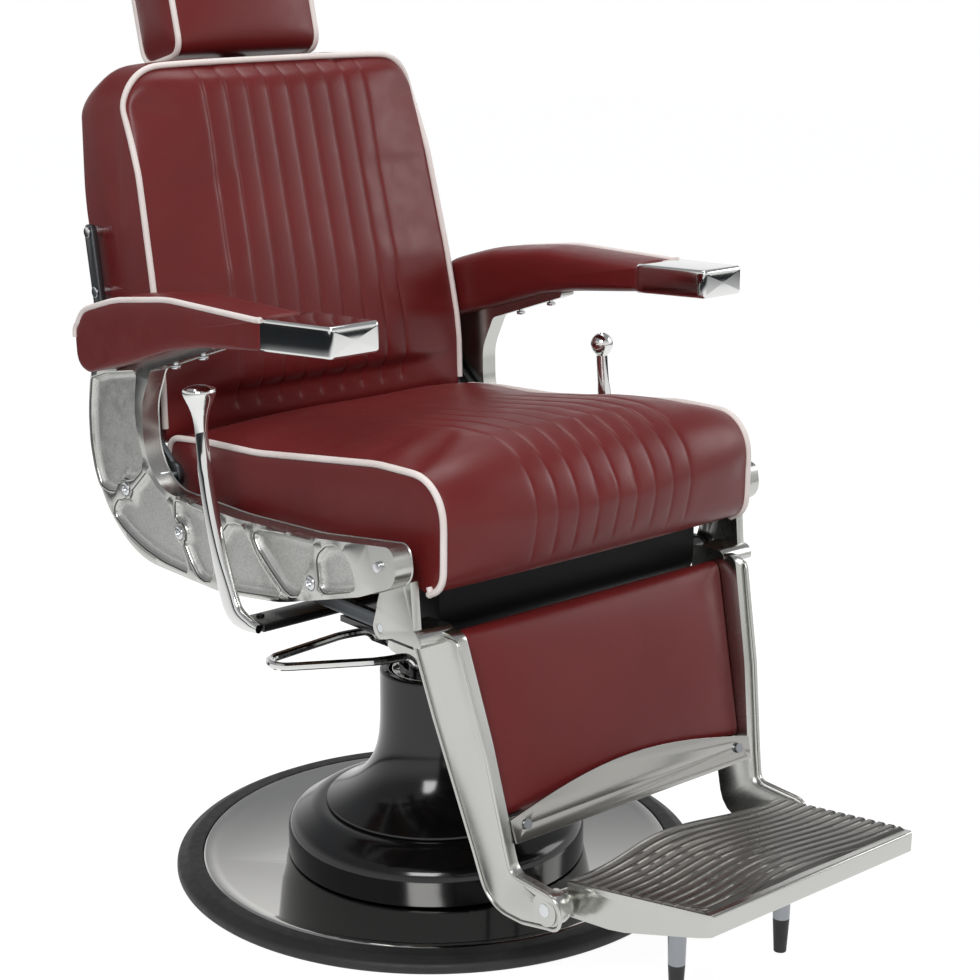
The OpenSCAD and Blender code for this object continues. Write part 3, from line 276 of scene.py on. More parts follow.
def loft(name: str, rings: Sequence[Sequence[Point]]) -> Piece:
    """Skins rings of equal length and closes each end with a fan.

    Args:
        name: the piece's name.
        rings: the rings, in millimetres.

    Returns:
        The closed object.
    """
    count = len(rings[0])
    vertices = [p for ring in rings for p in ring]
    faces: list[tuple[int, ...]] = []
    for i in range(len(rings) - 1):
        for k in range(count):
            low, ahead = i * count + k, i * count + (k + 1) % count
            faces.append((low, ahead, ahead + count, low + count))
    for ring, base in ((rings[0], 0), (rings[-1], (len(rings) - 1) * count)):
        vertices.append(tuple(sum(p[axis] for p in ring) / count for axis in range(3)))
        faces.extend((base + k, base + (k + 1) % count, len(vertices) - 1) for k in range(count))
    return new_piece(name, vertices, faces)


def settle(piece: Piece) -> Piece:
    """Applies a piece's modifiers to its mesh."""
    graph = bpy.context.evaluated_depsgraph_get()
    mesh = bpy.data.meshes.new_from_object(piece.evaluated_get(graph))
    piece.modifiers.clear()
    piece.data = mesh
    return piece


def join(parts: Sequence[Piece]) -> Piece:
    """Joins pieces, with their materials, into the first of them."""
    work = bmesh.new()
    finishes: list[bpy.types.Material] = []
    for part in parts:
        first = len(work.faces)
        work.from_mesh(part.data)
        work.faces.ensure_lookup_table()
        for material in part.data.materials:
            if material not in finishes:
                finishes.append(material)
        for face in work.faces[first:]:
            face.material_index = finishes.index(part.data.materials[0])
    work.to_mesh(parts[0].data)
    work.free()
    parts[0].data.materials.clear()
    for material in finishes:
        parts[0].data.materials.append(material)
    for part in parts[1:]:
        bpy.data.objects.remove(part)
    return parts[0]


def smooth(piece: Piece, sharp_deg: float = 40) -> Piece:
    """Shades a piece smoothly between edges sharper than an angle."""
    piece.data.shade_smooth()
    piece.data.set_sharp_from_angle(angle=math.radians(sharp_deg))
    return piece


def refine(piece: Piece, levels: int = 1) -> Piece:
    """Subdivides a piece smoothly and applies the result."""
    step = piece.modifiers.new("refine", "SUBSURF")
    step.levels = step.render_levels = levels
    return settle(piece)


def tube(name: str, path: Sequence[Point], radius: float, closed: bool = False) -> Piece:
    """Sweeps a round section along a path.

    Args:
        name: the piece's name.
        path: the middle line's points, in millimetres.
        radius: the section's radius, in millimetres.
        closed: whether the path joins up with its start.

    Returns:
        The tube as a mesh object.
    """
    curve = bpy.data.curves.new(name, "CURVE")
    curve.dimensions = "3D"
    curve.bevel_depth = radius * MM
    curve.bevel_resolution = 4
    curve.use_fill_caps = True
    spline = curve.splines.new("POLY")
    spline.points.add(len(path) - 1)
    for point, place in zip(spline.points, path):
        point.co = (place[0] * MM, place[1] * MM, place[2] * MM, 1)
    spline.use_cyclic_u = closed
    carrier = put(name, curve)
    mesh = bpy.data.meshes.new_from_object(carrier.evaluated_get(bpy.context.evaluated_depsgraph_get()))
    bpy.data.objects.remove(carrier)
    return smooth(put(name, mesh))


def turned(name: str, profile: Sequence[Flat], segments: int = 144) -> Piece:
    """Turns a closed profile round the Z axis.

    Args:
        name: the piece's name.
        profile: points as (radius, z), in millimetres, none of them on the axis.
        segments: how many steps go round.

    Returns:
        The turned ring.
    """
    count = len(profile)
    vertices: list[Point] = []
    faces: list[tuple[int, ...]] = []
    for k, (across, up) in enumerate(circle(segments)):
        vertices.extend((r * across, r * up, z) for r, z in profile)
        here, there = k * count, (k + 1) % segments * count
        for i in range(count):
            ahead = (i + 1) % count
            faces.append((here + i, there + i, there + ahead, here + ahead))
    return smooth(new_piece(name, vertices, faces))


# ---------- Finishes ----------


def srgb(code: str) -> tuple[float, float, float, float]:
    """Turns an sRGB hex colour into the linear one that a shader takes."""
    parts = [int(code[i : i + 2], 16) / 255 for i in (1, 3, 5)]
    red, green, blue = (c / 12.92 if c <= 0.04045 else ((c + 0.055) / 1.055) ** 2.4 for c in parts)
    return (red, green, blue, 1.0)


def per_mm(size: float) -> float:
    """Gives the texture scale whose pattern repeats about every size millimetres."""
    return 1 / (size * MM)


def add(tree: Tree, kind: str, inputs: dict[str | int, Any] | None = None, **settings: Any) -> Node:
    """Adds a node with its settings and links.

    Args:
        tree: the tree that takes the node.
        kind: the node's type.
        inputs: what each input takes, either another node's output or a value.
        settings: the node's own settings.

    Returns:
        The node.
    """
    node = tree.nodes.new(kind)
    for name, value in settings.items():
        setattr(node, name, value)
    for key, value in (inputs or {}).items():
        if isinstance(value, Socket):
            tree.links.new(value, node.inputs[key])
        else:
            node.inputs[key].default_value = value
    return node


@dataclass(frozen=True)
class Finish:
    """What every finish has: the material's name, its colour and how rough it is."""

    name: str
    colour: str
    roughness: float

    def material(self) -> bpy.types.Material:
        """Makes the material once and gives it again when it is asked for again."""
        made = bpy.data.materials.get(self.name)
        if made:
            return made
        made = bpy.data.materials.new(self.name)
        made.use_nodes = True
        tree = made.node_tree
        tree.nodes.clear()
        plain = {"Base Color": srgb(self.colour), "Roughness": self.roughness}
        shader = add(tree, "ShaderNodeBsdfPrincipled", plain)
        add(tree, "ShaderNodeOutputMaterial", {"Surface": shader.outputs[0]})
        place = add(tree, "ShaderNodeTexCoord").outputs["Object"]
        self.dress(tree, shader, place)
        return made

    def dress(self, tree: Tree, shader: Node, place: Socket) -> None:
        """Adds the finish's own nodes.

        Args:
            tree: the material's tree.
            shader: its principled shader.
            place: the object coordinates, in metres.
        """
        raise NotImplementedError

    def spread(self, tree: Tree, place: Socket, size: float, low: float, high: float) -> Socket:
        """Gives a value that wanders between low and high over the surface.

        Args:
            tree: the material's tree.
            place: the object coordinates.
            size: the width of a patch, in millimetres.
            low: the lowest value.
            high: the highest value.

        Returns:
            The value's socket.
        """
        noise = add(tree, "ShaderNodeTexNoise", {"Vector": place, "Scale": per_mm(size), "Detail": 3.0})
        limits = {"From Min": 0.3, "From Max": 0.7, "To Min": low, "To Max": high}
        return add(tree, "ShaderNodeMapRange", {"Value": noise.outputs["Fac"], **limits}).outputs["Result"]

    def tint(self, tree: Tree, shader: Node, share: Socket, other: str) -> None:
        """Mixes another colour into the finish's own.

        Args:
            tree: the material's tree.
            shader: its principled shader.
            share: how much of the other colour shows, from 0 to 1.
            other: the other colour.
        """
        mixed = {0: share, 6: srgb(self.colour), 7: srgb(other)}
        colour = add(tree, "ShaderNodeMix", mixed, data_type="RGBA").outputs[2]
        tree.links.new(colour, shader.inputs["Base Color"])

    def roughen(self, tree: Tree, shader: Node, place: Socket, size: float, less: float, more: float) -> None:
        """Lets the roughness wander over the surface.

        Args:
            tree: the material's tree.
            shader: its principled shader.
            place: the object coordinates.
            size: the width of a patch, in millimetres.
            less: how far the roughness falls below the finish's own.
            more: how far it rises above it.
        """
        rough = self.spread(tree, place, size, self.roughness - less, self.roughness + more)
        tree.links.new(rough, shader.inputs["Roughness"])

    def emboss(self, tree: Tree, shader: Node, height: Socket, depth: float, strength: float) -> None:
        """Raises a pattern on the surface.

        Args:
            tree: the material's tree.
            shader: its principled shader.
            height: the pattern.
            depth: its depth, in millimetres.
            strength: how much of it shows.
        """
        bump = {"Height": height, "Distance": depth * MM, "Strength": strength}
        tree.links.new(add(tree, "ShaderNodeBump", bump).outputs[0], shader.inputs["Normal"])


@dataclass(frozen=True)
class Leather(Finish):
    """Embossed, pigmented upholstery leather: a fine pebble that softens the highlights."""

    deep: str
    grain: float
    patch: float = 110

    def dress(self, tree: Tree, shader: Node, place: Socket) -> None:
        """Adds the pebble, the pores and the slow change of tone that a dyed hide has."""
        self.tint(tree, shader, self.spread(tree, place, self.patch, 0.0, 0.55), self.deep)
        self.roughen(tree, shader, place, self.patch / 4, 0.04, 0.05)
        # The real pebble is about 0.8 mm across; it is drawn coarser so that it shows.
        folds = {"Vector": place, "Scale": per_mm(self.grain * 3), "Detail": 2.0}
        warp = add(tree, "ShaderNodeTexNoise", folds).outputs["Color"]
        bent = add(tree, "ShaderNodeMix", {0: 0.004, 4: place, 5: warp}, data_type="VECTOR")
        cells = {"Vector": bent.outputs[1], "Scale": per_mm(self.grain), "Smoothness": 0.6}
        pebble = add(tree, "ShaderNodeTexVoronoi", cells, feature="SMOOTH_F1")
        self.emboss(tree, shader, pebble.outputs["Distance"], 0.12, 0.5)
        shader.inputs["IOR"].default_value = 1.4


@dataclass(frozen=True)
class Cord(Finish):
    """Calendered vinyl drawn over a cord: smooth and slightly creased across."""

    soiled: str

    def dress(self, tree: Tree, shader: Node, place: Socket) -> None:
        """Adds faint soiling and the small wrinkles of the bent vinyl."""
        self.tint(tree, shader, self.spread(tree, place, 60, 0.0, 0.5), self.soiled)
        wrinkle = add(tree, "ShaderNodeTexNoise", {"Vector": place, "Scale": per_mm(3), "Detail": 2.0})
        self.emboss(tree, shader, wrinkle.outputs["Fac"], 0.2, 0.25)


@dataclass(frozen=True)
class PolishedMetal(Finish):
    """Buffed or plated metal: near mirror gloss with soft ripples from the wheel."""

    ripple: float = 28
    ripple_depth: float = 0.12
    haze: float = 0.04

    def dress(self, tree: Tree, shader: Node, place: Socket) -> None:
        """Adds the ripples that bend reflections and the haze that fingers and cloths leave."""
        shader.inputs["Metallic"].default_value = 1.0
        self.roughen(tree, shader, place, self.ripple * 1.4, 0.0, self.haze)
        waves = {"Vector": place, "Scale": per_mm(self.ripple), "Detail": 1.0}
        ripple = add(tree, "ShaderNodeTexNoise", waves)
        self.emboss(tree, shader, ripple.outputs["Fac"], self.ripple_depth, 0.3)


@dataclass(frozen=True)
class CastMetal(Finish):
    """Metal as it left a sand mould: a matte, pitted skin that scatters light."""

    pit: str
    sand: float = 1.6
    sand_depth: float = 0.35

    def dress(self, tree: Tree, shader: Node, place: Socket) -> None:
        """Adds the sand's print, darker in its pits."""
        shader.inputs["Metallic"].default_value = 1.0
        # Moulding sand is about 0.3 mm; its print is drawn coarser so that it shows.
        grains = {"Vector": place, "Scale": per_mm(self.sand), "Detail": 4.0}
        sand = add(tree, "ShaderNodeTexNoise", grains).outputs["Fac"]
        pits = add(tree, "ShaderNodeMapRange", {"Value": sand, "From Min": 0.35, "From Max": 0.65})
        self.tint(tree, shader, pits.outputs["Result"], self.pit)
        self.roughen(tree, shader, place, 14, 0.06, 0.08)
        self.emboss(tree, shader, sand, self.sand_depth, 0.6)


@dataclass(frozen=True)
class Gloss(Finish):
    """Stoved enamel or moulded black plastic: deep colour under a clear, faintly wavy skin."""

    dust: str
    peel: float = 9
    shine: float = 0.5

    def dress(self, tree: Tree, shader: Node, place: Socket) -> None:
        """Adds the flow waves of the coat and a little dust in its tone."""
        shader.inputs["Specular IOR Level"].default_value = self.shine
        self.tint(tree, shader, self.spread(tree, place, 40, 0.0, 0.4), self.dust)
        self.roughen(tree, shader, place, 70, 0.0, 0.04)
        wave = add(tree, "ShaderNodeTexNoise", {"Vector": place, "Scale": per_mm(self.peel), "Detail": 0.0})
        self.emboss(tree, shader, wave.outputs["Fac"], 0.05, 0.12)


@dataclass(frozen=True)
class Matte(Finish):
    """Moulded rubber or rough black steel: a dull skin with fine grit in it."""

    worn: str
    grit: float = 1.5

    def dress(self, tree: Tree, shader: Node, place: Socket) -> None:
        """Adds the grit and the paler bloom of handled rubber."""
        self.tint(tree, shader, self.spread(tree, place, 35, 0.0, 0.7), self.worn)
        self.roughen(tree, shader, place, 12, 0.05, 0.08)
        grit = add(tree, "ShaderNodeTexNoise", {"Vector": place, "Scale": per_mm(self.grit), "Detail": 2.0})
        self.emboss(tree, shader, grit.outputs["Fac"], 0.15, 0.3)


@dataclass(frozen=True)
class Ply(Finish):
    """Sawn birch plywood: pale veneers with darker glue lines and a soft grain."""

    glue: str
    veneer: float = 1.5

    def dress(self, tree: Tree, shader: Node, place: Socket) -> None:
        """Adds the glue lines through the thickness and the grain along X."""
        layers = {"Vector": place, "Scale": per_mm(self.veneer * 2 * math.pi) * 2, "Distortion": 0.4}
        lines = add(tree, "ShaderNodeTexWave", layers, bands_direction="Z")
        self.tint(tree, shader, lines.outputs["Fac"], self.glue)
        along = add(tree, "ShaderNodeMapping", {"Vector": place, "Scale": (0.08, 1.0, 1.0)}).outputs[0]
        grain = add(tree, "ShaderNodeTexNoise", {"Vector": along, "Scale": per_mm(2.5), "Detail": 4.0})
        self.emboss(tree, shader, grain.outputs["Fac"], 0.2, 0.4)


# Pigmented leather: burgundy, darker in the folds, with a broad soft highlight.
LEATHER = Leather("embossed_burgundy_leather", "#6c1e1f", 0.38, deep="#5e1819", grain=2.2)
# White vinyl piping: warm white, semi-matte.
PIPING = Cord("white_vinyl_piping", "#efe5e0", 0.5, soiled="#dccdc6")
# Buffed aluminium castings: slightly warm grey with soft reflections.
ALUMINIUM = PolishedMetal("buffed_cast_aluminium", "#bbbbb7", 0.2, ripple=34, ripple_depth=0.15, haze=0.08)
# Sand-cast aluminium left raw in the recesses: pale, grainy grey.
RAW_CAST = CastMetal("raw_sand_cast_aluminium", "#cbcbc8", 0.42, pit="#aeaeab")
# The castings' steep field walls: dull, and painted dark as the shade that outlines the fields.
WALL_SHADE_CAST = CastMetal("cast_aluminium_painted_wall_shade", "#6d6d6b", 0.5, pit="#4f4f4d", sand=1.2)
# Chromium plate: the brightest mirror on the chair.
CHROME = PolishedMetal("chromium_plate", "#d9dad8", 0.06, ripple=40, ripple_depth=0.06, haze=0.03)
# Polished stainless sheet: a flat mirror, a little darker than chrome.
MIRROR_SHEET = PolishedMetal(
    "polished_stainless_sheet", "#bcbbb8", 0.06, ripple=120, ripple_depth=0.1, haze=0.03
)
# The same sheet on the kick plate, dulled by shoes, with its colour painted darker for the dark surroundings
# that it reflects.
SCUFFED_DARKENED_SHEET = PolishedMetal(
    "scuffed_stainless_sheet_painted_dark", "#a3a29e", 0.13, ripple=90, ripple_depth=0.1, haze=0.06
)
# Zinc-plated screws: bright, with a fine haze.
SCREW = PolishedMetal("zinc_plated_steel", "#cfd1d3", 0.2, ripple=6, ripple_depth=0.03)
# Turned steel: satin grey.
STEEL = PolishedMetal("turned_plain_steel", "#8f9296", 0.3, ripple=8, ripple_depth=0.04)
# Rolled grey steel bar: dull metal of the folding linkage.
BAR_STEEL = PolishedMetal("rolled_grey_steel", "#5d6063", 0.36, ripple=14, ripple_depth=0.1)
# Bearing bronze: yellow metal with an oily sheen.
BRONZE = PolishedMetal("bearing_bronze", "#ae8842", 0.28, ripple=10, ripple_depth=0.05)
# Grey iron ballast: dark and grainy.
IRON = CastMetal("grey_cast_iron", "#4b4d50", 0.55, pit="#2e3032", sand=2.2)
# Gloss-moulded black plastic covers: near-mirror black.
BLACK_PLASTIC = Gloss("gloss_moulded_black_plastic", "#0b0b0c", 0.12, dust="#161617")
# Stove-enamelled black steel: gloss black.
BLACK_ENAMEL = Gloss("stoved_black_enamel", "#0d0d0e", 0.2, dust="#1a1a1b", peel=5)
# Satin black steel cover, painted blacker and given less shine than the other black parts, as painted shade
# under the seat.
SHADED_BLACK_SATIN = Gloss("satin_black_steel_painted_shade", "#060606", 0.45, dust="#0b0b0b", peel=4, shine=0.15)
# Footplate tread: cast aluminium darkened by shoes, brighter on the ridges.
TREAD_CASTING = PolishedMetal(
    "worn_cast_aluminium_tread", "#6f6d69", 0.25, ripple=18, ripple_depth=0.2, haze=0.12
)
# Moulded black rubber: matte black with a grey bloom.
RUBBER = Matte("moulded_black_rubber", "#161617", 0.55, worn="#232324")
# Birch plywood under the cushions.
PLYWOOD = Ply("sawn_birch_plywood", "#a8875a", 0.6, glue="#6d4f2e")


# ---------- Rigid pieces ----------


class Edge(Enum):
    """How a rigid piece's edges were left, as the width of their rounding in millimetres."""

    DEBURRED = 0.5
    STAMPED = 0.9
    BUFFED = 1.6


@dataclass
class Fitting:
    """A rigid CAD node shown again with the rounded edges of the real piece."""

    node: str
    edge: Edge
    finish: Finish
    segments: int = 3
    sharp_deg: float = 32
    weld: float = 0.002

    def make(self, frame: Frame) -> Piece:
        """Copies the node's surface, rounds its edges and dresses it.


        Returns:
            The piece, which stands for the node.
        """
        source = frame["nodes"][self.node]
        work = bmesh.new()
        work.from_mesh(source.data)
        bmesh.ops.remove_doubles(work, verts=work.verts, dist=self.weld * MM)
        bmesh.ops.dissolve_degenerate(work, edges=work.edges, dist=self.weld * MM)
        bmesh.ops.dissolve_limit(work, angle_limit=math.radians(0.6), verts=work.verts, edges=work.edges)
        mesh = bpy.data.meshes.new(self.node)
        work.to_mesh(mesh)
        work.free()
        piece = put(self.node + "_finished", mesh)
        mesh.shade_smooth()
        rounding = piece.modifiers.new("rounding", "BEVEL")
        rounding.width = self.edge.value * MM
        rounding.segments = self.segments
        rounding.limit_method = "ANGLE"
        rounding.angle_limit = math.radians(self.sharp_deg)
        rounding.harden_normals = True
        settle(piece)
        return stand_in(dress(piece, self.finish), frame, self.node)


def stand_in(piece: Piece, frame: Frame, *nodes: str) -> Piece:
    """Lets a piece stand for CAD nodes, on the first one's body.

    Args:
        piece: the piece.
        nodes: the nodes that it replaces.

    Returns:
        The piece.
    """
    first = frame["nodes"][nodes[0]]
    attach(piece, first["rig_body"])
    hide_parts(*nodes)
    return piece


def dress(piece: Piece, finish: Finish) -> Piece:
    """Gives a piece one finish all over."""
    piece.data.materials.clear()
    piece.data.materials.append(finish.material())
    return piece


# ---------- Cushions ----------


# The leather as cloth: a fairly stiff, light cover that settles in a few steps.
CLOTH_STEPS = 14
CLOTH_QUALITY = 4
CLOTH_MASS = 0.4
CLOTH_STRETCH = 25
CLOTH_BENDING = 3
# How far in from the seam the rings lie that close a cushion's end, as shares of its section.
END_SHARES = (0.93, 0.78, 0.56, 0.32)

@dataclass
class Cushion:
    """A padded piece: a side outline carried across X, with a crowned face and closed ends."""

    name: str
    node: str
    body: str
    half: float
    crown: float
    spacing: float = 9
    fill: float = 0.8
    corners: tuple[Corner, ...] = ()
    end_bulge: float = 3
    pressure: float = 3
    cap: float = 5

    def __post_init__(self) -> None:
        """Works out the side outline and its normals."""
        self.outline = resample(fillet(self.corners), self.spacing)
        self.out = normals(self.outline)

    def columns(self) -> list[float]:
        """Gives the places of the rings across X."""
        raise NotImplementedError

    def share(self, y: float, z: float) -> float:
        """Gives how much of the crown a point of the outline takes."""
        raise NotImplementedError

    def fullness(self, x: float) -> float:
        """Gives how full the crown is at x, from 0 at the ends to 1 in the middle."""
        return 1 - min(1.0, abs(x) / self.half) ** 3.2

    def spot(self, x: float, k: int) -> Point:
        """Gives the place of the outline's point k in the ring at x."""
        (y, z), (out_y, out_z) = self.outline[k], self.out[k]
        edge = max(0.0, 1 - (self.half - abs(x)) / 5)
        push = self.crown * self.fullness(x) * self.share(y, z) - 2.5 * edge**2
        return (x, y + out_y * push, z + out_z * push)

    def ring(self, x: float) -> list[Point]:
        """Gives the ring at x."""
        return [self.spot(x, k) for k in range(len(self.outline))]

    def end(self, x: float) -> list[list[Point]]:
        """Gives the rings that close the end at x, from the seam inwards."""
        seam = self.ring(x)
        middle = Vector([sum(p[axis] for p in seam) / len(seam) for axis in range(3)])
        rings = []
        for share in END_SHARES:
            lift = math.copysign(self.end_bulge * (1 - share**4), x - self.centre())
            rings.append([tuple(middle.lerp(Vector(p), share) + Vector((lift, 0, 0))) for p in seam])
        return rings

    def centre(self) -> float:
        """Gives the cushion's middle in X."""
        return 0.0

    def rings(self) -> list[list[Point]]:
        """Gives every ring from one end's middle to the other's."""
        columns = self.columns()
        return self.end(columns[0])[::-1] + [self.ring(x) for x in columns] + self.end(columns[-1])

    def held(self, place: Vector) -> bool:
        """Says whether a point, in millimetres, is sewn or glued down."""
        return False

    def groove(self, place: Vector) -> float:
        """Gives how far a point, in millimetres, rises or sinks along its normal at the seams."""
        return 0.0

    def make(self, frame: Frame) -> Piece:
        """Builds, fills, sews and dresses the cushion.


        Returns:
            The cushion.
        """
        piece = loft(self.name, self.rings())
        self.puff(piece)
        refine(piece)
        self.sew(piece)
        smooth(piece, 80)
        dress(piece, LEATHER)
        stand_in(piece, frame, self.node)
        LOG.info("%s: %d faces", self.name, len(piece.data.polygons))
        return piece

    def puff(self, piece: Piece) -> None:
        """Lets the filling press the cover out between its seams."""
        before = [v.co.copy() for v in piece.data.vertices]
        seams = piece.vertex_groups.new(name="seams")
        seams.add([i for i, co in enumerate(before) if self.held(co / MM)], 1.0, "REPLACE")
        cover = piece.modifiers.new("cover", "CLOTH")
        cover.settings.quality = CLOTH_QUALITY
        cover.settings.mass = CLOTH_MASS
        cover.settings.tension_stiffness = CLOTH_STRETCH
        cover.settings.compression_stiffness = CLOTH_STRETCH
        cover.settings.bending_stiffness = CLOTH_BENDING
        cover.settings.use_pressure = True
        cover.settings.uniform_pressure_force = self.pressure
        cover.settings.vertex_group_mass = "seams"
        cover.settings.effector_weights.gravity = 0
        cover.point_cache.frame_end = CLOTH_STEPS
        for step in range(1, CLOTH_STEPS + 1):
            bpy.context.scene.frame_set(step)
        settle(piece)
        bpy.context.scene.frame_set(1)
        for vertex, start in zip(piece.data.vertices, before):
            moved = vertex.co - start
            if moved.length > self.cap * MM:
                vertex.co = start + moved.normalized() * self.cap * MM

    def sew(self, piece: Piece) -> None:
        """Sinks the sewn channels into the filled cover."""
        out = [v.normal.copy() for v in piece.data.vertices]
        for vertex, normal in zip(piece.data.vertices, out):
            vertex.co += normal * self.groove(vertex.co / MM) * MM
        piece.data.update()


def channel(x: float, pitch: float, count: int, height: float) -> float:
    """Gives the height of channelled leather above its seams.

    Args:
        x: distance from the middle line.
        pitch: distance between two seams.
        count: how many seams there are.
        height: how far the leather stands above a seam.

    Returns:
        The height at x: a crisp crease in a soft roll at each seam, and level outside them.
    """
    last = (count - 1) / 2 * pitch
    from_seam = abs(x - pitch * round(x / pitch)) if abs(x) < last else abs(abs(x) - last)
    crease = math.exp(-((from_seam / 2.1) ** 2))
    roll = max(0.0, 1 - from_seam / (pitch / 2)) ** 2
    return height * (1 - 0.55 * crease - 0.45 * roll)


def channel_columns(half: float, pitch: float, count: int, side: float) -> list[float]:
    """Spaces rings so that each seam has one.

    Args:
        half: half the width to fill.
        pitch: distance between two seams.
        count: how many seams there are.
        side: about how far apart the rings are beside the channels.

    Returns:
        The places across X, from -half to half.
    """
    flat = (count / 2) * pitch
    half_count = (count - 1) // 2
    around = (-pitch / 2, -pitch / 4, -2.2, 0.0, 2.2, pitch / 4)
    inner = [pitch * k + step for k in range(-half_count, half_count + 1) for step in around] + [flat]
    steps = max(2, round((half - 5 - flat) / side))
    outer = [flat + (half - 5 - flat) * k / steps for k in range(1, steps + 1)] + [half - 2, half]
    return [-x for x in reversed(outer)] + inner + outer


@dataclass
class SeatCushion(Cushion):
    """The seat: channels run over its front roll, and a piped seam follows each side."""

    name: str = "seat_cushion_cover"
    node: str = "seat_cushion"
    body: str = "seat"
    half: float = 245
    crown: float = 21
    corners: tuple[Corner, ...] = (
        (226, 497.3, 16), (237, 540, 60), (237, 572.3, 24), (150, 582, 120), (40, 588.3, 240),
        (-198, 620.3, 160), (-317, 623.3, 50), (-315, 487.3, 30), (-292, 487.3, 4), (-290, 497.3, 0),
    )  # fmt: skip
    pitch: float = 31
    channels: int = 9
    depth: float = 1.7

    def columns(self) -> list[float]:
        """Gives rings that fall on the channel seams."""
        return channel_columns(self.half, self.pitch, self.channels, 9)

    def fullness(self, x: float) -> float:
        """Keeps the crown full close to the side seams."""
        return 0.35 * (1 - abs(x / self.half) ** 2) + 0.65 * (1 - min(1.0, abs(x) / self.half) ** 7)

    def share(self, y: float, z: float) -> float:
        """Gives the crown to the top and the front roll, and none to the underside."""
        if z < 499 and y > -300:
            return 0.0
        if y > 150:
            return 0.9 * min(1.0, max(0.0, (232 - y) / 82))
        if y < -290 and z < 560:
            return 0.9 * max(0.15, (z - 470) / 90)
        return 1.0

    def held(self, place: Vector) -> bool:
        """Holds the underside, the rear and the piped seams."""
        return place.z < 500 or place.y > 215 or abs(place.x) > self.half - 0.5

    def groove(self, place: Vector) -> float:
        """Fades the channels towards the rear and the foot of the front."""
        if place.z < 500:
            return 0.0
        along = 0.1 + 0.9 * ease(-place.y, -60, 200)
        foot = ease(place.z, 500, 530) if place.y < -250 else 1.0
        rise = channel(place.x, self.pitch, self.channels, self.depth) - self.depth
        return rise * along * foot

    def piping(self) -> list[list[Point]]:
        """Gives the path of the cord along each side seam, from the rear over the front."""
        first, last = nearest(self.outline, (236, 552)), nearest(self.outline, (-286, 494))
        paths = []
        for sign in (-1, 1):
            ring = self.ring(sign * self.half)
            path = ring[first : last + 1]
            out = self.out[first : last + 1]
            paths.append([(x + sign * 0.5, y + oy * 2, z + oz * 2) for (x, y, z), (oy, oz) in zip(path, out)])
        return [flow(path) for path in paths]


@dataclass
class BackCushion(Cushion):
    """The back: a channelled face with rounded top corners and piping round its edge."""

    name: str = "back_cushion_cover"
    node: str = "back_cushion"
    body: str = "back"
    half: float = 246.4
    crown: float = 18
    corners: tuple[Corner, ...] = (
        (240, 558, 14), (344, 564, 8), (352, 600, 120), (398, 752, 160), (418, 860, 160), (418, 1006, 34),
        (386, 1030, 18), (331, 1032, 18), (312, 962, 200), (264, 767, 300), (242, 657, 200),
    )  # fmt: skip
    pitch: float = 34.5
    channels: int = 9
    depth: float = 2.4
    corner: float = 52
    top: float = 1032
    narrow: float = 0.055

    def columns(self) -> list[float]:
        """Gives rings on the channel seams, and closer ones round the top corners."""
        inner = channel_columns(self.half - self.corner, self.pitch, self.channels, 9)[2:-2]
        turns = [math.radians(degrees) for degrees in (8, 20, 32, 44, 56, 68, 79, 90)]
        arc = [self.half - self.corner * (1 - math.sin(turn)) for turn in turns]
        return [-x for x in reversed(arc)] + inner + arc

    def share(self, y: float, z: float) -> float:
        """Gives the crown to the face, fading at its foot and over its top."""
        if z > 1016:
            return 0.25 if y < 392 else 0.0
        if z < 585:
            return 0.1
        if y < 220 + (z - 560) * 0.32:
            return min(1.0, (z - 560) / 90)
        return 0.0

    def side(self, y: float, z: float) -> float:
        """Gives half the back's width at a place: its face narrows towards the top."""
        return self.half * (1 - self.narrow * ease(z, 600, 1030) * (1 - ease(y, 335, 405)))

    def spot(self, x: float, k: int) -> Point:
        """Lowers the outline's top towards the ends, so that the corners are round."""
        x, y, z = super().spot(x, k)
        over = max(0.0, abs(x) - (self.half - self.corner))
        drop = self.corner - math.sqrt(max(0.0, self.corner**2 - over**2))
        level = 900 + 50 * ease(y, 335, 400)
        if z > level:
            z -= drop * (z - level) / (self.top - level)
        return (x * self.side(y, z) / self.half, y, z)

    def held(self, place: Vector) -> bool:
        """Holds the rear, the foot and the piped seams."""
        rear = place.y > 232 + (place.z - 560) * 0.36 + 60
        return rear or place.z < 575 or abs(place.x) > self.side(place.y, place.z) - 0.6

    def groove(self, place: Vector) -> float:
        """Runs the channels up the face to the top seam."""
        front = place.y < 225 + (place.z - 560) * 0.3
        if not front or place.z < 575:
            return 0.0
        ends = ease(place.z, 570, 585) * (1 - 0.7 * ease(place.z, 1005, 1030))
        across = place.x * self.half / self.side(place.y, place.z)
        return (channel(across, self.pitch, self.channels, self.depth) - self.depth) * ends

    def piping(self) -> list[list[Point]]:
        """Gives the path of the cord up one side of the face, over its top and down the other."""
        foot, head = nearest(self.outline, (241, 580)), nearest(self.outline, (333, 1027))
        count = len(self.outline)
        sides = [(head + i) % count for i in range((foot - head) % count + 1)]
        rings = [self.ring(x) for x in self.columns()]
        up = [rings[0][k] for k in reversed(sides)]
        over = [ring[head] for ring in rings[1:-1]]
        down = [rings[-1][k] for k in sides]
        path = []
        for x, y, z in up + over + down:
            path.append((x + math.copysign(min(0.6, abs(x) / 200), x), y - 1.5, z + 1.5 * ease(z, 990, 1030)))
        return [flow(path[::2] if len(path) % 2 else path[::2] + path[-1:])]


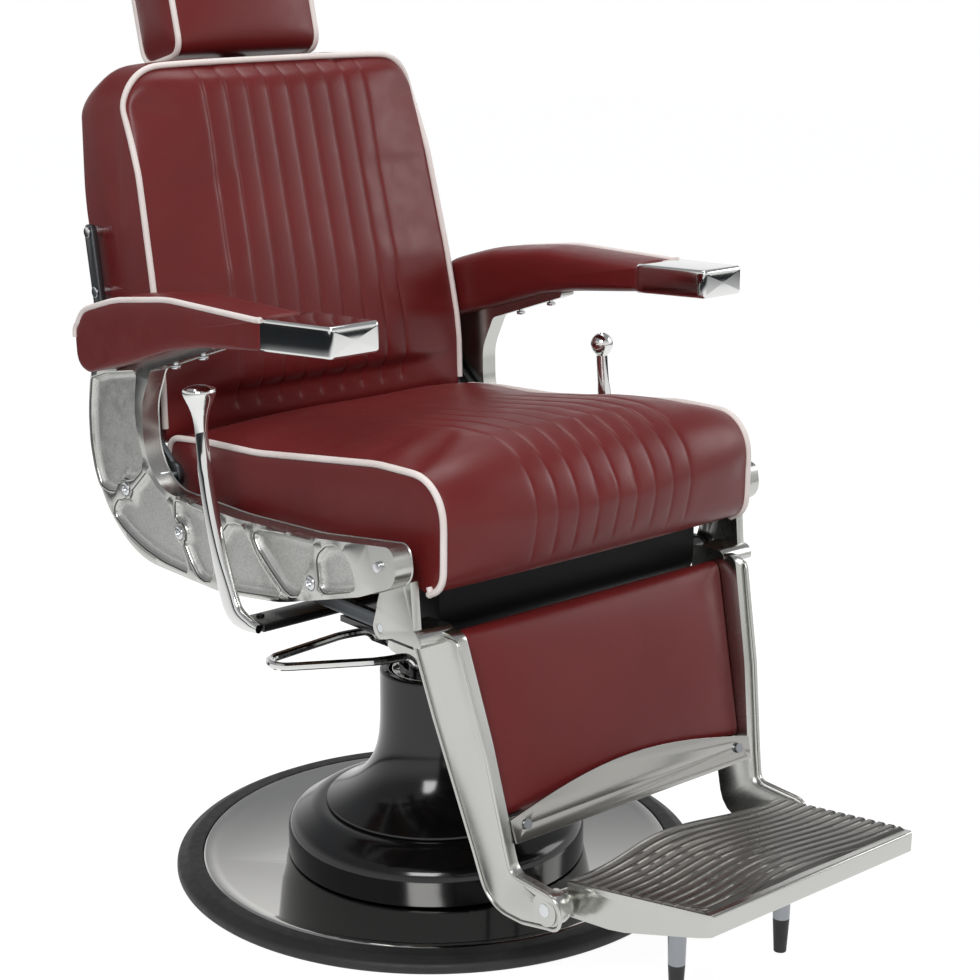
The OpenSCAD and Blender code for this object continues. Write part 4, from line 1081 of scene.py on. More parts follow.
@dataclass
class BackPan:
    """The leather-covered panel that closes the back's rear, with soft edges and round corners."""

    half: float = 226
    low: float = 572
    high: float = 1000
    corner: float = 44
    proud: float = 5
    rows: int = 40
    rear: tuple[Flat, ...] = (
        (346, 560), (352, 590), (372, 662), (392, 728), (404, 780), (412, 830), (417, 880), (418, 1010),
    )  # fmt: skip

    def surface(self, z: float) -> float:
        """Gives the y of the cushion's rear at a height."""
        for (y0, z0), (y1, z1) in zip(self.rear, self.rear[1:]):
            if z <= z1:
                return y0 + (y1 - y0) * (z - z0) / (z1 - z0)
        return self.rear[-1][0]

    def make(self, frame: Frame) -> None:
        """Builds the panel and lets it stand for the shell.
        """
        middle, tall = (self.low + self.high) / 2, (self.high - self.low) / 2
        box = [(-self.half, -tall), (self.half, -tall), (self.half, tall), (-self.half, tall)]
        edge = resample(fillet([(x, z, self.corner) for x, z in box], 12), 12)
        rings = []
        steps = ((0, -4), (0, self.proud - 3), (1, self.proud - 1), (3, self.proud), (9, self.proud + 0.6))
        for shrink, out in steps:
            wide, high = 1 - shrink / self.half, 1 - shrink / tall
            rings.append([(x * wide, self.surface(middle + z) + out, middle + z * high) for x, z in edge])
        for k in range(1, 9):
            share = 1 - k / 9
            out = self.proud + 0.6 + 3 * (1 - share**2)
            spots = [(x * share, middle + z * share) for x, z in edge]
            rings.append([(x, self.surface(z) + out, z) for x, z in spots])
        pan = dress(smooth(refine(loft("back_pan", rings)), 80), LEATHER)
        stand_in(pan, frame, "back_shell")


@dataclass
class Headrest(Cushion):
    """The headrest: a leaning pillow with piping round both ends."""

    name: str = "headrest_cover"
    node: str = "headrest_cushion"
    body: str = "headrest"
    half: float = 112
    crown: float = 8
    spacing: float = 8
    deep: float = 92
    high: float = 150
    lean: float = 14
    foot: Flat = (381, 1042)
    end_bulge: float = 9

    def __post_init__(self) -> None:
        """Leans a rounded box back from its foot."""
        box = fillet([(0, 0, 22), (self.deep, 0, 22), (self.deep, self.high, 34), (0, self.high, 30)])
        self.outline = resample([leaned(y, z, self.lean, self.foot) for y, z in box], self.spacing)
        self.out = normals(self.outline)

    def columns(self) -> list[float]:
        """Spaces the rings evenly, closer at the ends."""
        inner = [-104 + 8 * k for k in range(27)]
        return [-self.half, -self.half + 3] + inner + [self.half - 3, self.half]

    def share(self, y: float, z: float) -> float:
        """Crowns all but the underside."""
        return ease(z, 1035, 1075)

    def held(self, place: Vector) -> bool:
        """Holds the piped seams and the underside."""
        return abs(place.x) > self.half - 0.5 or place.z < 1045

    def piping(self) -> list[list[Point]]:
        """Gives the closed path of the cord round each end."""
        paths = []
        for sign in (-1, 1):
            end = zip(self.ring(sign * self.half), self.out)
            paths.append(flow([(x, y + oy * 1.5, z + oz * 1.5) for (x, y, z), (oy, oz) in end], closed=True))
        return paths


@dataclass
class ArmPad(Cushion):
    """An armrest pad: rolled over on its inner side and piped along its outer top edge."""

    name: str = "arm_pad_cover"
    node: str = "arm_pad_left"
    body: str = "seat"
    half: float = 38
    crown: float = 4
    spacing: float = 7
    sign: int = 1
    middle: float = 296
    roll: float = 13
    corners: tuple[Corner, ...] = (
        (-101, 746.3, 0), (23, 731.3, 120), (89, 718.3, 100), (189, 686.3, 100), (278, 661.3, 16),
        (305, 668.3, 20), (309, 738.3, 46), (208, 767.3, 160), (90, 783.3, 160), (-101, 784.3, 0),
    )  # fmt: skip
    end_bulge: float = 1.5
    cap: float = 2.5
    pressure: float = 2

    def centre(self) -> float:
        """Gives the pad's middle in X."""
        return self.sign * self.middle

    def columns(self) -> list[float]:
        """Spaces the rings closely where the inner side rolls over."""
        roll = [self.roll * (1 - math.cos(math.radians(a))) for a in (0, 18, 36, 54, 72, 90)]
        across = roll + [self.roll + 7.6 * k for k in range(1, 9)] + [2 * self.half - 1.5, 2 * self.half]
        places = [self.sign * (self.middle - self.half + a) for a in across]
        return places if self.sign > 0 else places[::-1]

    def spot(self, x: float, k: int) -> Point:
        """Pulls the outline in where the inner side rolls over, and crowns the top."""
        (y, z), (out_y, out_z) = self.outline[k], self.out[k]
        across = abs(x) - self.middle + self.half
        bend = max(0.0, 1 - across / self.roll)
        pull = self.roll * (1 - math.sqrt(max(0.0, 1 - bend * bend)))
        seam = max(0.0, 1 - (2 * self.half - across) / 1.5)
        top = out_z > 0.3
        rise = self.crown * (math.sin(math.pi * across / (2 * self.half)) - 1) if top else 0.0
        push = rise - (pull if y > -98 or abs(out_z) > 0.5 else 0.0) * (0.7 if out_z < 0 else 1.0) - seam
        if y < -98:
            return (x, y, z + out_z * push if abs(out_z) > 0.5 else z)
        return (x, y + out_y * push, z + out_z * push)

    def held(self, place: Vector) -> bool:
        """Holds the underside, the front end and the piped seam."""
        under = place.z < 741 - 0.09 * max(0.0, place.y + 101) - max(0.0, place.y - 60) * 0.2
        outer = abs(place.x) > self.middle + self.half - 0.6
        return under or outer or place.y < -96 or abs(place.x) < self.middle - self.half + 0.6

    def piping(self) -> list[list[Point]]:
        """Gives the path of the cord along the outer top edge."""
        first, last = nearest(self.outline, (307, 700)), nearest(self.outline, (-100, 784))
        ring = self.ring(self.sign * (self.middle + self.half))
        path = ring[first : last + 1]
        out = self.out[first : last + 1]
        cord = [(x - self.sign * 0.8, y + oy * 1.2, z + oz * 1.2) for (x, y, z), (oy, oz) in zip(path, out)]
        return [flow(cord)]


@dataclass
class CalfPad(Cushion):
    """The calf pad between the legs: narrower towards its foot and crowned outwards."""

    name: str = "calf_pad_cover"
    node: str = "calf_pad"
    body: str = "leg_rest"
    half: float = 1
    crown: float = 10
    spacing: float = 8
    thick: float = 30
    high: float = 229
    lean: float = 16.4
    foot: Flat = (-363, 218)
    leg_top: Flat = (219.5, 437)
    leg_lean: float = 5.8
    gap: float = 1
    cap: float = 4
    end_bulge: float = 0.0

    def __post_init__(self) -> None:
        """Keeps the outline in the shin's own frame."""
        box = [(0, 8, 8), (self.thick, 8, 4), (self.thick, self.high, 8), (0, self.high, 10)]
        self.outline = resample(fillet(box), self.spacing)
        self.out = normals(self.outline)

    def width(self, y: float, z: float) -> float:
        """Gives half the space between the legs at a place in the shin's frame."""
        height = leaned(y, z, self.lean, self.foot)[1]
        return self.leg_top[0] - (self.leg_top[1] - height) * math.tan(math.radians(self.leg_lean)) - self.gap

    def columns(self) -> list[float]:
        """Gives shares of the half width, closer at the ends."""
        inner = [k / 24 for k in range(-23, 24)]
        return [-1, -0.992, -0.978] + inner + [0.978, 0.992, 1]

    def spot(self, x: float, k: int) -> Point:
        """Turns a share and a point of the shin's frame into the chair's frame."""
        y, z = self.outline[k]
        face = 1.0 if y < 9 else 0.0
        rise = max(0.0, math.sin(math.pi * (z - 8) / (self.high - 8)))
        out = self.crown * (1 - abs(x) ** 6) * rise * face - 3 * abs(x) ** 40 * face
        return (x * self.width(y, z), *leaned(y - out, z, self.lean, self.foot))

    def held(self, place: Vector) -> bool:
        """Holds the rear, which lies on the board, and the sides along the legs."""
        lean = math.radians(self.lean)
        depth = (place.y - self.foot[0]) * math.cos(lean) - (place.z - self.foot[1]) * math.sin(lean)
        return depth > 14 or abs(place.x) > self.width(depth, (place.z - self.foot[1]) / math.cos(lean)) - 6


@dataclass
class Piping:
    """The covered cord sewn into a cushion's seams."""

    name: str
    body: str
    paths: list[list[Point]]
    radius: float = 4.1
    closed: bool = False

    def make(self) -> None:
        """Sweeps and dresses a cord along each path."""
        for i, path in enumerate(self.paths):
            cord = dress(tube(f"{self.name}_{i}", path, self.radius, self.closed), PIPING)
            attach(cord, self.body)


@dataclass
class Upholstery:
    """Every padded piece of the chair, with the piping on its seams."""

    frame: Frame

    def make(self) -> None:
        """Builds the cushions and their piping."""
        seat = SeatCushion()
        back = BackCushion()
        head = Headrest()
        for cushion, label in ((seat, "seat_piping"), (back, "back_piping"), (head, "headrest_piping")):
            cushion.make(self.frame)
            Piping(label, cushion.body, cushion.piping(), closed=cushion is head).make()
        for sign, side in ((-1, "right"), (1, "left")):
            pad = ArmPad(name=f"arm_pad_cover_{side}", node=f"arm_pad_{side}", sign=sign)
            pad.make(self.frame)
            Piping(f"arm_piping_{side}", "seat", pad.piping(), radius=3.6).make()
        CalfPad().make(self.frame)
        BackPan().make(self.frame)


# ---------- Castings ----------


class Border:
    """Closed loops, filed for the distance from a spot to the nearest of their sides."""

    def __init__(self, loops: Sequence[Sequence[Flat]]) -> None:
        """Files the sides of the loops by their middles."""
        self.sides = [(Vector(loop[i - 1]), Vector(loop[i])) for loop in loops for i in range(len(loop))]
        self.tree = KDTree(len(self.sides))
        for i, (start, end) in enumerate(self.sides):
            self.tree.insert(((start + end) / 2).to_3d(), i)
        self.tree.balance()

    def gap(self, spot: Sequence[float]) -> float:
        """Gives the distance from a spot to the nearest side."""
        place = Vector(spot)
        gaps = []
        for _, i, _ in self.tree.find_n((*spot, 0), 3):
            start, end = self.sides[i]
            share = min(1.0, max(0.0, (place - start).dot(end - start) / (end - start).length_squared))
            gaps.append((start.lerp(end, share) - place).length)
        return min(gaps)


@dataclass
class SideFrame:
    """A cast side frame: thin polished ribs round scooped fields, and bosses for its bolts."""

    sign: int
    inner: float = 270
    thick: float = 28
    depth: float = 9
    wall: float = 2.8
    cove: float = 9
    lip: float = 1.4
    edge: float = 3.4
    step: float = 3.0
    boss_r: float = 13
    bore_r: float = 9
    bore_depth: float = 5
    grid: float = 8
    raw_share: float = 0.62
    bosses: tuple[Flat, ...] = ((138, 475), (-137, 475), (261, 507))
    corners: tuple[Corner, ...] = (
        (278, 661, 16), (338, 657, 8), (347, 590, 160), (347, 419, 152), (50, 417, 300), (-70, 434, 300),
        (-226, 479, 120), (-294, 508, 24), (-287, 550, 14), (-130, 528, 200), (20, 519, 300), (217, 520, 68),
        (219, 625, 60), (196, 672, 14), (56, 719, 2), (56, 724.5, 1), (89, 718, 100), (189, 686, 100),
    )  # fmt: skip
    fields: tuple[tuple[Corner, ...], ...] = (
        (
            (224, 667, 6), (300, 653, 20), (335, 641, 6), (343, 600, 100), (343, 556, 80), (335, 520, 60),
            (325, 499, 12), (307, 495, 10), (288, 497, 5), (279, 512, 5), (241, 524, 10), (221, 539, 12),
            (218, 556, 20), (229, 590, 60), (232, 612, 40), (230, 634, 40),
        ),
        (
            (211, 540, 6), (203, 535, 40), (187, 523, 40), (170, 515, 20), (158, 504, 40), (145, 484, 30),
            (124, 436, 5), (122, 425, 5), (179, 427, 100), (227, 435, 100), (268, 449, 60), (293, 463, 12),
            (294, 476, 12), (284, 488, 10), (267, 493, 6), (242, 513, 20), (220, 532, 10),
        ),
        (
            (148, 514, 5), (129, 518, 20), (106, 514, 20), (81, 513, 6), (73, 491, 40), (67, 460, 40),
            (66, 437, 12), (73, 426, 8), (86, 423, 10), (101, 426, 12), (115, 440, 20), (129, 460, 10),
            (129, 480, 8), (148, 494, 6),
        ),
        (
            (57, 480, 8), (42, 499, 14), (32, 509, 12), (15, 514, 14), (0, 514, 10), (-14, 499, 60),
            (-33, 476, 100), (-58, 459, 20), (-74, 448, 4), (-74, 441, 4), (10, 428, 100), (54, 423, 6),
        ),
        (
            (-23, 510, 5), (-38, 517, 14), (-71, 521, 100), (-103, 524, 100), (-143, 527, 4), (-144, 512, 30),
            (-121, 471, 20), (-119, 463, 10), (-111, 453, 8), (-97, 449, 8), (-83, 453, 12), (-58, 470, 60),
            (-32, 490, 20), (-23, 503, 5),
        ),
        (
            (-148, 505, 6), (-152, 514, 14), (-165, 525, 14), (-183, 531, 14), (-198, 528, 12),
            (-212, 516, 30), (-220, 500, 30), (-221, 487, 5), (-211, 481, 10), (-175, 470, 60),
            (-161, 467, 6), (-152, 472, 8), (-150, 490, 30),
        ),
    )  # fmt: skip

    def __post_init__(self) -> None:
        """Rounds the outlines and files them for the distance to them."""
        self.rim = resample(fillet(self.corners, 24), self.step)
        self.loops = [resample(fillet(field_corners, 12), self.step) for field_corners in self.fields]
        self.rim_border = Border([self.rim])
        self.field_border = Border(self.loops)

    def scoop(self, gap: float) -> float:
        """Gives the depth of a field at a distance inside its edge."""
        if gap < 0.5:
            return self.lip / 2 + (self.wall - self.lip / 2) * gap / 0.5
        fall = min(1.0, (gap - 0.5) / (self.cove - 0.5))
        return self.wall + (self.depth - self.wall) * math.sin(math.pi / 2 * fall) ** 1.1

    def sink(self, spot: Flat, hollow: bool) -> float:
        """Gives how far the casting's surface lies below its outer plane.

        Args:
            spot: a place as (y, z).
            hollow: whether the place lies in a field.

        Returns:
            The depth, in millimetres.
        """
        rim = min(self.edge, self.rim_border.gap(spot))
        round_off = self.edge - math.sqrt(self.edge**2 - (self.edge - rim) ** 2)
        gap = self.field_border.gap(spot)
        low = self.scoop(gap) if hollow else self.lip / 2 * max(0.0, 1 - gap / self.lip) ** 2
        for boss in self.bosses:
            away = (Vector(spot) - Vector(boss)).length
            if away < self.bore_r:
                return self.bore_depth
            if away < self.boss_r + self.cove:
                low = min(low, self.scoop(away - self.boss_r) if away > self.boss_r else 0.0)
        return max(low, round_off)

    def ring(self, loop: Sequence[Flat], inset: float) -> list[Flat]:
        """Gives the points of a loop's inset that keep their distance to every edge."""
        points = []
        for (y, z), (out_y, out_z) in zip(loop, normals(loop)):
            spot = (y - out_y * inset, z - out_z * inset)
            if min(self.rim_border.gap(spot), self.field_border.gap(spot)) > 0.9 * abs(inset) - 0.05:
                points.append(spot)
        return points

    def clear_of_bores(self, spot: Flat) -> bool:
        """Says whether a spot lies outside the bosses' bores."""
        return all((Vector(spot) - Vector(boss)).length > self.bore_r + 1.2 for boss in self.bosses)

    def floor_spots(self) -> list[tuple[Flat, bool]]:
        """Gives the free points of the outer face, each with whether it lies in a field."""
        spots: list[tuple[Flat, bool]] = []
        for inset in (0.5, 1.3, 2.4, 3.6):
            spots.extend((spot, False) for spot in self.ring(self.rim, inset))
        for loop in self.loops:
            turned_out = loop if self.runs_anticlockwise(loop) else loop[::-1]
            spots.extend((spot, False) for spot in self.ring(turned_out, -1.6))
            for inset in (0.5, 1.4, 2.8, 4.6, 6.6, 9.0):
                spots.extend((spot, True) for spot in self.ring(turned_out, inset) if within(loop, spot))
            (low_y, high_y), (low_z, high_z) = ((min(side), max(side)) for side in zip(*loop))
            for i in range(int((high_y - low_y) / self.grid) + 1):
                for j in range(int((high_z - low_z) / self.grid) + 1):
                    spot = (low_y + self.grid * i, low_z + self.grid * j + self.grid / 2 * (i % 2))
                    if within(loop, spot) and self.field_border.gap(spot) > self.cove + 2:
                        spots.append((spot, True))
        spots = [(spot, hollow) for spot, hollow in spots if self.clear_of_bores(spot)]
        for y, z in self.bosses:
            for radius in (4.0, self.bore_r - 0.2, self.bore_r + 0.2, 11.5, 13.0, 13.5, 15, 17, 19.5):
                for across, up in circle(32):
                    spot = (y + radius * across, z + radius * up)
                    hollow = any(within(loop, spot) for loop in self.loops)
                    if radius < 12 or hollow:
                        spots.append((spot, hollow))
        return spots

    def runs_anticlockwise(self, loop: Sequence[Flat]) -> bool:
        """Says whether a loop runs anticlockwise."""
        return sum(loop[i - 1][0] * p[1] - p[0] * loop[i - 1][1] for i, p in enumerate(loop)) > 0

    def make(self, frame: Frame, side: str) -> Piece:
        """Casts the side frame.

        Args:
            side: left or right.

        Returns:
            The casting.
        """
        outer = self.inner + self.thick
        spots: list[tuple[Flat, bool]] = []
        edges: list[tuple[int, int]] = []
        for loop in (self.rim, *self.loops):
            first = len(spots)
            spots.extend((spot, False) for spot in loop)
            edges.extend((first + k, first + (k + 1) % len(loop)) for k in range(len(loop)))
        spots.extend(self.floor_spots())
        flat = [Vector(spot) for spot, _ in spots]
        placed, _, triangles, origins, _, _ = delaunay_2d_cdt(flat, edges, [], 1, 1e-4)
        hollow = [any(spots[i][1] for i in origin) for origin in origins]
        depths = [self.sink(tuple(spot), inside) for spot, inside in zip(placed, hollow)]
        vertices = [(self.sign * (outer - depth), p.x, p.y) for p, depth in zip(placed, depths)]
        faces: list[Sequence[int]] = [tuple(t) for t in triangles]
        order = {origin: i for i, group in enumerate(origins) for origin in group}
        around = [order[k] for k in range(len(self.rim))]
        out = normals(self.rim)
        for x, inset in ((self.inner + 1.2, 0.0), (self.inner, 1.2)):
            base = len(vertices)
            for (y, z), (out_y, out_z) in zip(self.rim, out):
                vertices.append((self.sign * x, y - out_y * inset, z - out_z * inset))
            ring = list(range(base, base + len(self.rim)))
            for k in range(len(ring)):
                ahead = (k + 1) % len(ring)
                faces.append((around[k], around[ahead], ring[ahead], ring[k]))
            around = ring
        faces.append(tuple(around))
        piece = smooth(new_piece(f"side_frame_{side}_casting", vertices, faces), 42)
        dress(piece, ALUMINIUM)
        piece.data.materials.append(RAW_CAST.material())
        piece.data.materials.append(WALL_SHADE_CAST.material())
        for face in piece.data.polygons[: len(triangles)]:
            sunk = outer - abs(face.center.x) / MM
            steep = abs(face.normal.x) < 0.5
            near_edge = self.rim_border.gap((face.center.y / MM, face.center.z / MM)) < self.edge
            if sunk > self.raw_share * self.depth:
                face.material_index = 1
            # Steep walls away from the rim take the dark finish: painted shade round the fields.
            elif steep and not near_edge:
                face.material_index = 2
        return stand_in(piece, frame, f"side_frame_{side}")


@dataclass
class BoltHead:
    """The domed head of a socket bolt, seen on a side frame."""

    name: str
    x: float
    place: Flat
    radius: float = 8.6

    def make(self, body: str) -> None:
        """Turns the head and its socket.

        Args:
            body: what the bolt rides on.
        """
        sign = math.copysign(1, self.x)
        steps = (
            (self.radius, -3.4), (self.radius, 0.4), (self.radius - 0.8, 1.5), (self.radius - 2.4, 2.1),
            (4.4, 2.2), (4.0, 1.7), (3.9, -1.6),
        )  # fmt: skip
        rings = []
        for radius, height in steps:
            x = self.x + sign * height
            rings.append([(x, self.place[0] + radius * a, self.place[1] + radius * b) for a, b in circle(24)])
        head = dress(smooth(loft(self.name, rings), 35), SCREW)
        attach(head, body)


@dataclass
class LegBead:
    """The raised bead that runs along both edges of a leg's outer face."""

    sign: int
    thick: float = 16
    top: Flat = (219.5, 437)
    lean: float = 5.8
    inset: float = 3.4
    radius: float = 2.3
    corners: tuple[Corner, ...] = (
        (-250, 436, 4), (-250, 420, 30), (-276, 330, 60), (-326, 180, 60), (-345, 118, 40), (-400, 118, 20),
        (-441, 127, 18), (-462, 130, 14), (-462, 164, 14), (-441, 165, 18), (-384, 168, 16), (-376, 205, 40),
        (-355, 318, 100), (-324, 436, 4),
    )  # fmt: skip

    def make(self, side: str) -> None:
        """Lays the bead on the leg."""
        outline = resample(fillet(self.corners, 16), 5)
        lean = math.radians(self.lean)
        path = []
        for (y, z), (out_y, out_z) in zip(outline, normals(outline)):
            high = z - out_z * self.inset - self.top[1]
            x = self.top[0] + self.thick * math.cos(lean) + high * math.sin(lean)
            drop = self.thick * math.sin(lean)
            path.append((self.sign * x, y - out_y * self.inset, self.top[1] + high * math.cos(lean) - drop))
        bead = dress(tube(f"leg_{side}_bead", path, self.radius, closed=True), ALUMINIUM)
        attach(bead, "leg_rest")


@dataclass
class Tread:
    """The footplate's top: ridges cast across it, which bow to the rear in the middle."""

    rear: Flat = (-446, 173)
    depth: float = 212
    tilt: float = 8.9
    half_rear: float = 176.6
    half_front: float = 165.6
    pitch: float = 15.5
    height: float = 3.4
    bow: float = 22
    swell: float = 6
    rows: int = 190
    columns: int = 56
    thick: float = 7
    margin: float = 0.7

    def level(self, y: float) -> float:
        """Gives the height of the footplate's plane."""
        return self.rear[1] + (self.rear[0] - y) * math.tan(math.radians(self.tilt))

    def top(self, x: float, y: float) -> float:
        """Gives the height of the tread's surface at a place."""
        along = self.wave(x) - y
        groove = abs(along / self.pitch - round(along / self.pitch)) * 2
        front = y - (self.rear[0] - self.depth)
        ridge = self.height * (1 - (1 - min(1.0, groove)) ** 5) * ease(front, 8, 20)
        heel = max(0.0, 1 - (self.rear[0] + self.bow - y) / 90)
        crown = self.swell * heel**2 * math.cos(math.pi * x / (2 * self.half_rear)) ** 2
        return self.level(y) + ridge + crown - 0.6

    def wave(self, x: float) -> float:
        """Gives how far a ridge lies behind its ends at x."""
        return self.bow * (1 + math.cos(math.pi * x / 150)) / 2 if abs(x) < 200 else 0.0

    def make(self, frame: Frame) -> None:
        """Casts the tread onto the footplate.
        """
        front = self.rear[0] - self.depth + self.margin
        upper: list[Point] = []
        lower: list[Point] = []
        for i in range(self.rows + 1):
            share = i / self.rows
            for j in range(self.columns + 1):
                across = 2 * j / self.columns - 1
                half = self.half_rear + (self.half_front - self.half_rear) * share - self.margin
                x = across * half
                back = self.rear[0] + self.wave(x) - self.margin
                corner = 9 * max(0.0, (abs(x) - half + 9) / 9) ** 2 * share
                y = back + (front + corner - back) * share
                upper.append((x, y, self.top(x, y)))
                lower.append((x, y, self.level(y) - self.thick))
        width = self.columns + 1
        count = len(upper)
        faces = []
        for i in range(self.rows):
            for j in range(self.columns):
                a = i * width + j
                faces.append((a, a + 1, a + width + 1, a + width))
                faces.append((count + a, count + a + width, count + a + width + 1, count + a + 1))
        edge = [*range(width), *((i + 1) * width - 1 for i in range(1, self.rows + 1))]
        edge += [self.rows * width + j for j in range(width - 2, -1, -1)]
        edge += [i * width for i in range(self.rows - 1, 0, -1)]
        faces.extend((a, b, count + b, count + a) for a, b in zip(edge, edge[1:] + edge[:1]))
        tread = dress(smooth(new_piece("footplate_tread", upper + lower, faces), 50), TREAD_CASTING)
        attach(tread, frame["nodes"]["footplate"]["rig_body"])


@dataclass
class Base:
    """The base: a moulded column cover and skirt over a polished disc in a rubber rim."""

    bell_r: float = 146
    neck_r: float = 73
    low: float = 87
    high: float = 262
    wall: float = 3

    def bell(self, z: float) -> float:
        """Gives the column cover's radius at a height."""
        share = (z - self.low) / (self.high - self.low)
        return self.neck_r + (self.bell_r - self.neck_r) * (1 - min(1.0, max(0.0, share))) ** 5

    def make(self, frame: Frame) -> None:
        """Turns the covers and the rim.
        """
        heights = [self.low + (self.high - self.low) * (k / 44) ** 1.6 for k in range(45)]
        outer = [(self.bell(z), z) for z in heights]
        foot = [(124, 83.4, 0), (self.bell_r, 83.4, 1.5), (self.bell_r, self.low, 1), (124, self.low, 0)]
        lip = fillet(foot, 8)[1:-1]
        rim = fillet([(73, 255, 0), (73, 268, 4), (60, 268, 4.5), (60, 255, 0)], 12)[1:-1]
        inner = [(r - self.wall, z) for r, z in reversed(outer[1:])]
        cover = turned("column_cover_moulding", [(142, 83.4), *lip[:8], *outer[1:], *rim, *inner])
        self.fit(frame, "column_cover", cover, BLACK_PLASTIC)
        skirt = fillet([(122, 15.6, 0), (197, 15.6, 2), (197, 60, 22), (160, 83, 30), (122, 83, 0)], 20)
        self.fit(frame, "skirt_cover", turned("skirt_moulding", skirt), BLACK_PLASTIC)
        rubber = fillet([(311, 0.2, 2), (345, 0.2, 5), (345, 12.4, 7), (329.7, 20, 12), (311, 20, 2)], 12)
        self.fit(frame, "rubber_rim", turned("rubber_rim_ring", rubber, 192), RUBBER)

    def fit(self, frame: Frame, node: str, piece: Piece, finish: Finish) -> None:
        """Dresses a turned piece and lets it stand for its node."""
        stand_in(dress(piece, finish), frame, node)


@dataclass
class ArmCap:
    """The plated cap on an armrest's front: a closed box with soft edges, tapering forwards."""

    sign: int
    rear: float = -101.6
    front: float = -223
    inner: float = 257.5
    outer: float = 334
    taper: float = 9
    edge: float = 4

    def section(self, y: float, shrink: float) -> list[Point]:
        """Gives the rounded section of the cap at y, drawn in by a margin."""
        share = (self.rear - y) / (self.rear - self.front)
        low, high = 745.5 + 7.5 * share + shrink, 783.4 + 6 * share - shrink
        left, right = self.inner + shrink, self.outer - self.taper * share - shrink
        edge = max(0.6, self.edge - shrink * 0.5)
        box = fillet([(left, low, edge), (right, low, edge), (right, high, edge), (left, high, edge)], 5)
        return [(self.sign * x, y, z) for x, z in box]

    def make(self, frame: Frame, side: str) -> None:
        """Plates the cap.

        Args:
            side: left or right.
        """
        cuts = [(self.rear, 2.0), (self.rear, 0.5), (self.rear - 0.6, 0)]
        cuts += [(self.rear - 1 - 11.8 * k, 0) for k in range(1, 10)]
        for degrees in (0, 18, 36, 54, 72, 90):
            turn = math.radians(degrees)
            cuts.append((self.front + 5 * (1 - math.sin(turn)), 5 * (1 - math.cos(turn))))
        sections = [self.section(y, shrink) for y, shrink in cuts]
        cap = dress(smooth(loft(f"arm_cap_{side}_plated", sections), 55), CHROME)
        stand_in(cap, frame, f"arm_cap_{side}")


class Knob(Enum):
    """The two kinds of lever knob, as turned profiles of (radius, height above the stem's end)."""

    TRUMPET = (
        (7.4, -20), (7.6, -8), (8.2, 2), (9.4, 11), (11.4, 19), (14.2, 26.5), (17.2, 33), (19.4, 38),
        (20.4, 42), (20.2, 44.6), (19.2, 46.2), (18.2, 45.9), (17.2, 46.4), (15.2, 48), (11.5, 49.6),
        (7, 50.6), (2.5, 51),
    )  # fmt: skip
    BALL = (
        (6.4, -20), (6.2, -8), (6.4, -2), (8.4, 1), (11.6, 4), (14, 8.6), (15.2, 14), (15, 19), (13.2, 24),
        (10, 27.8), (6.4, 30), (4.6, 30.6), (4.2, 29.4), (2, 29),
    )  # fmt: skip


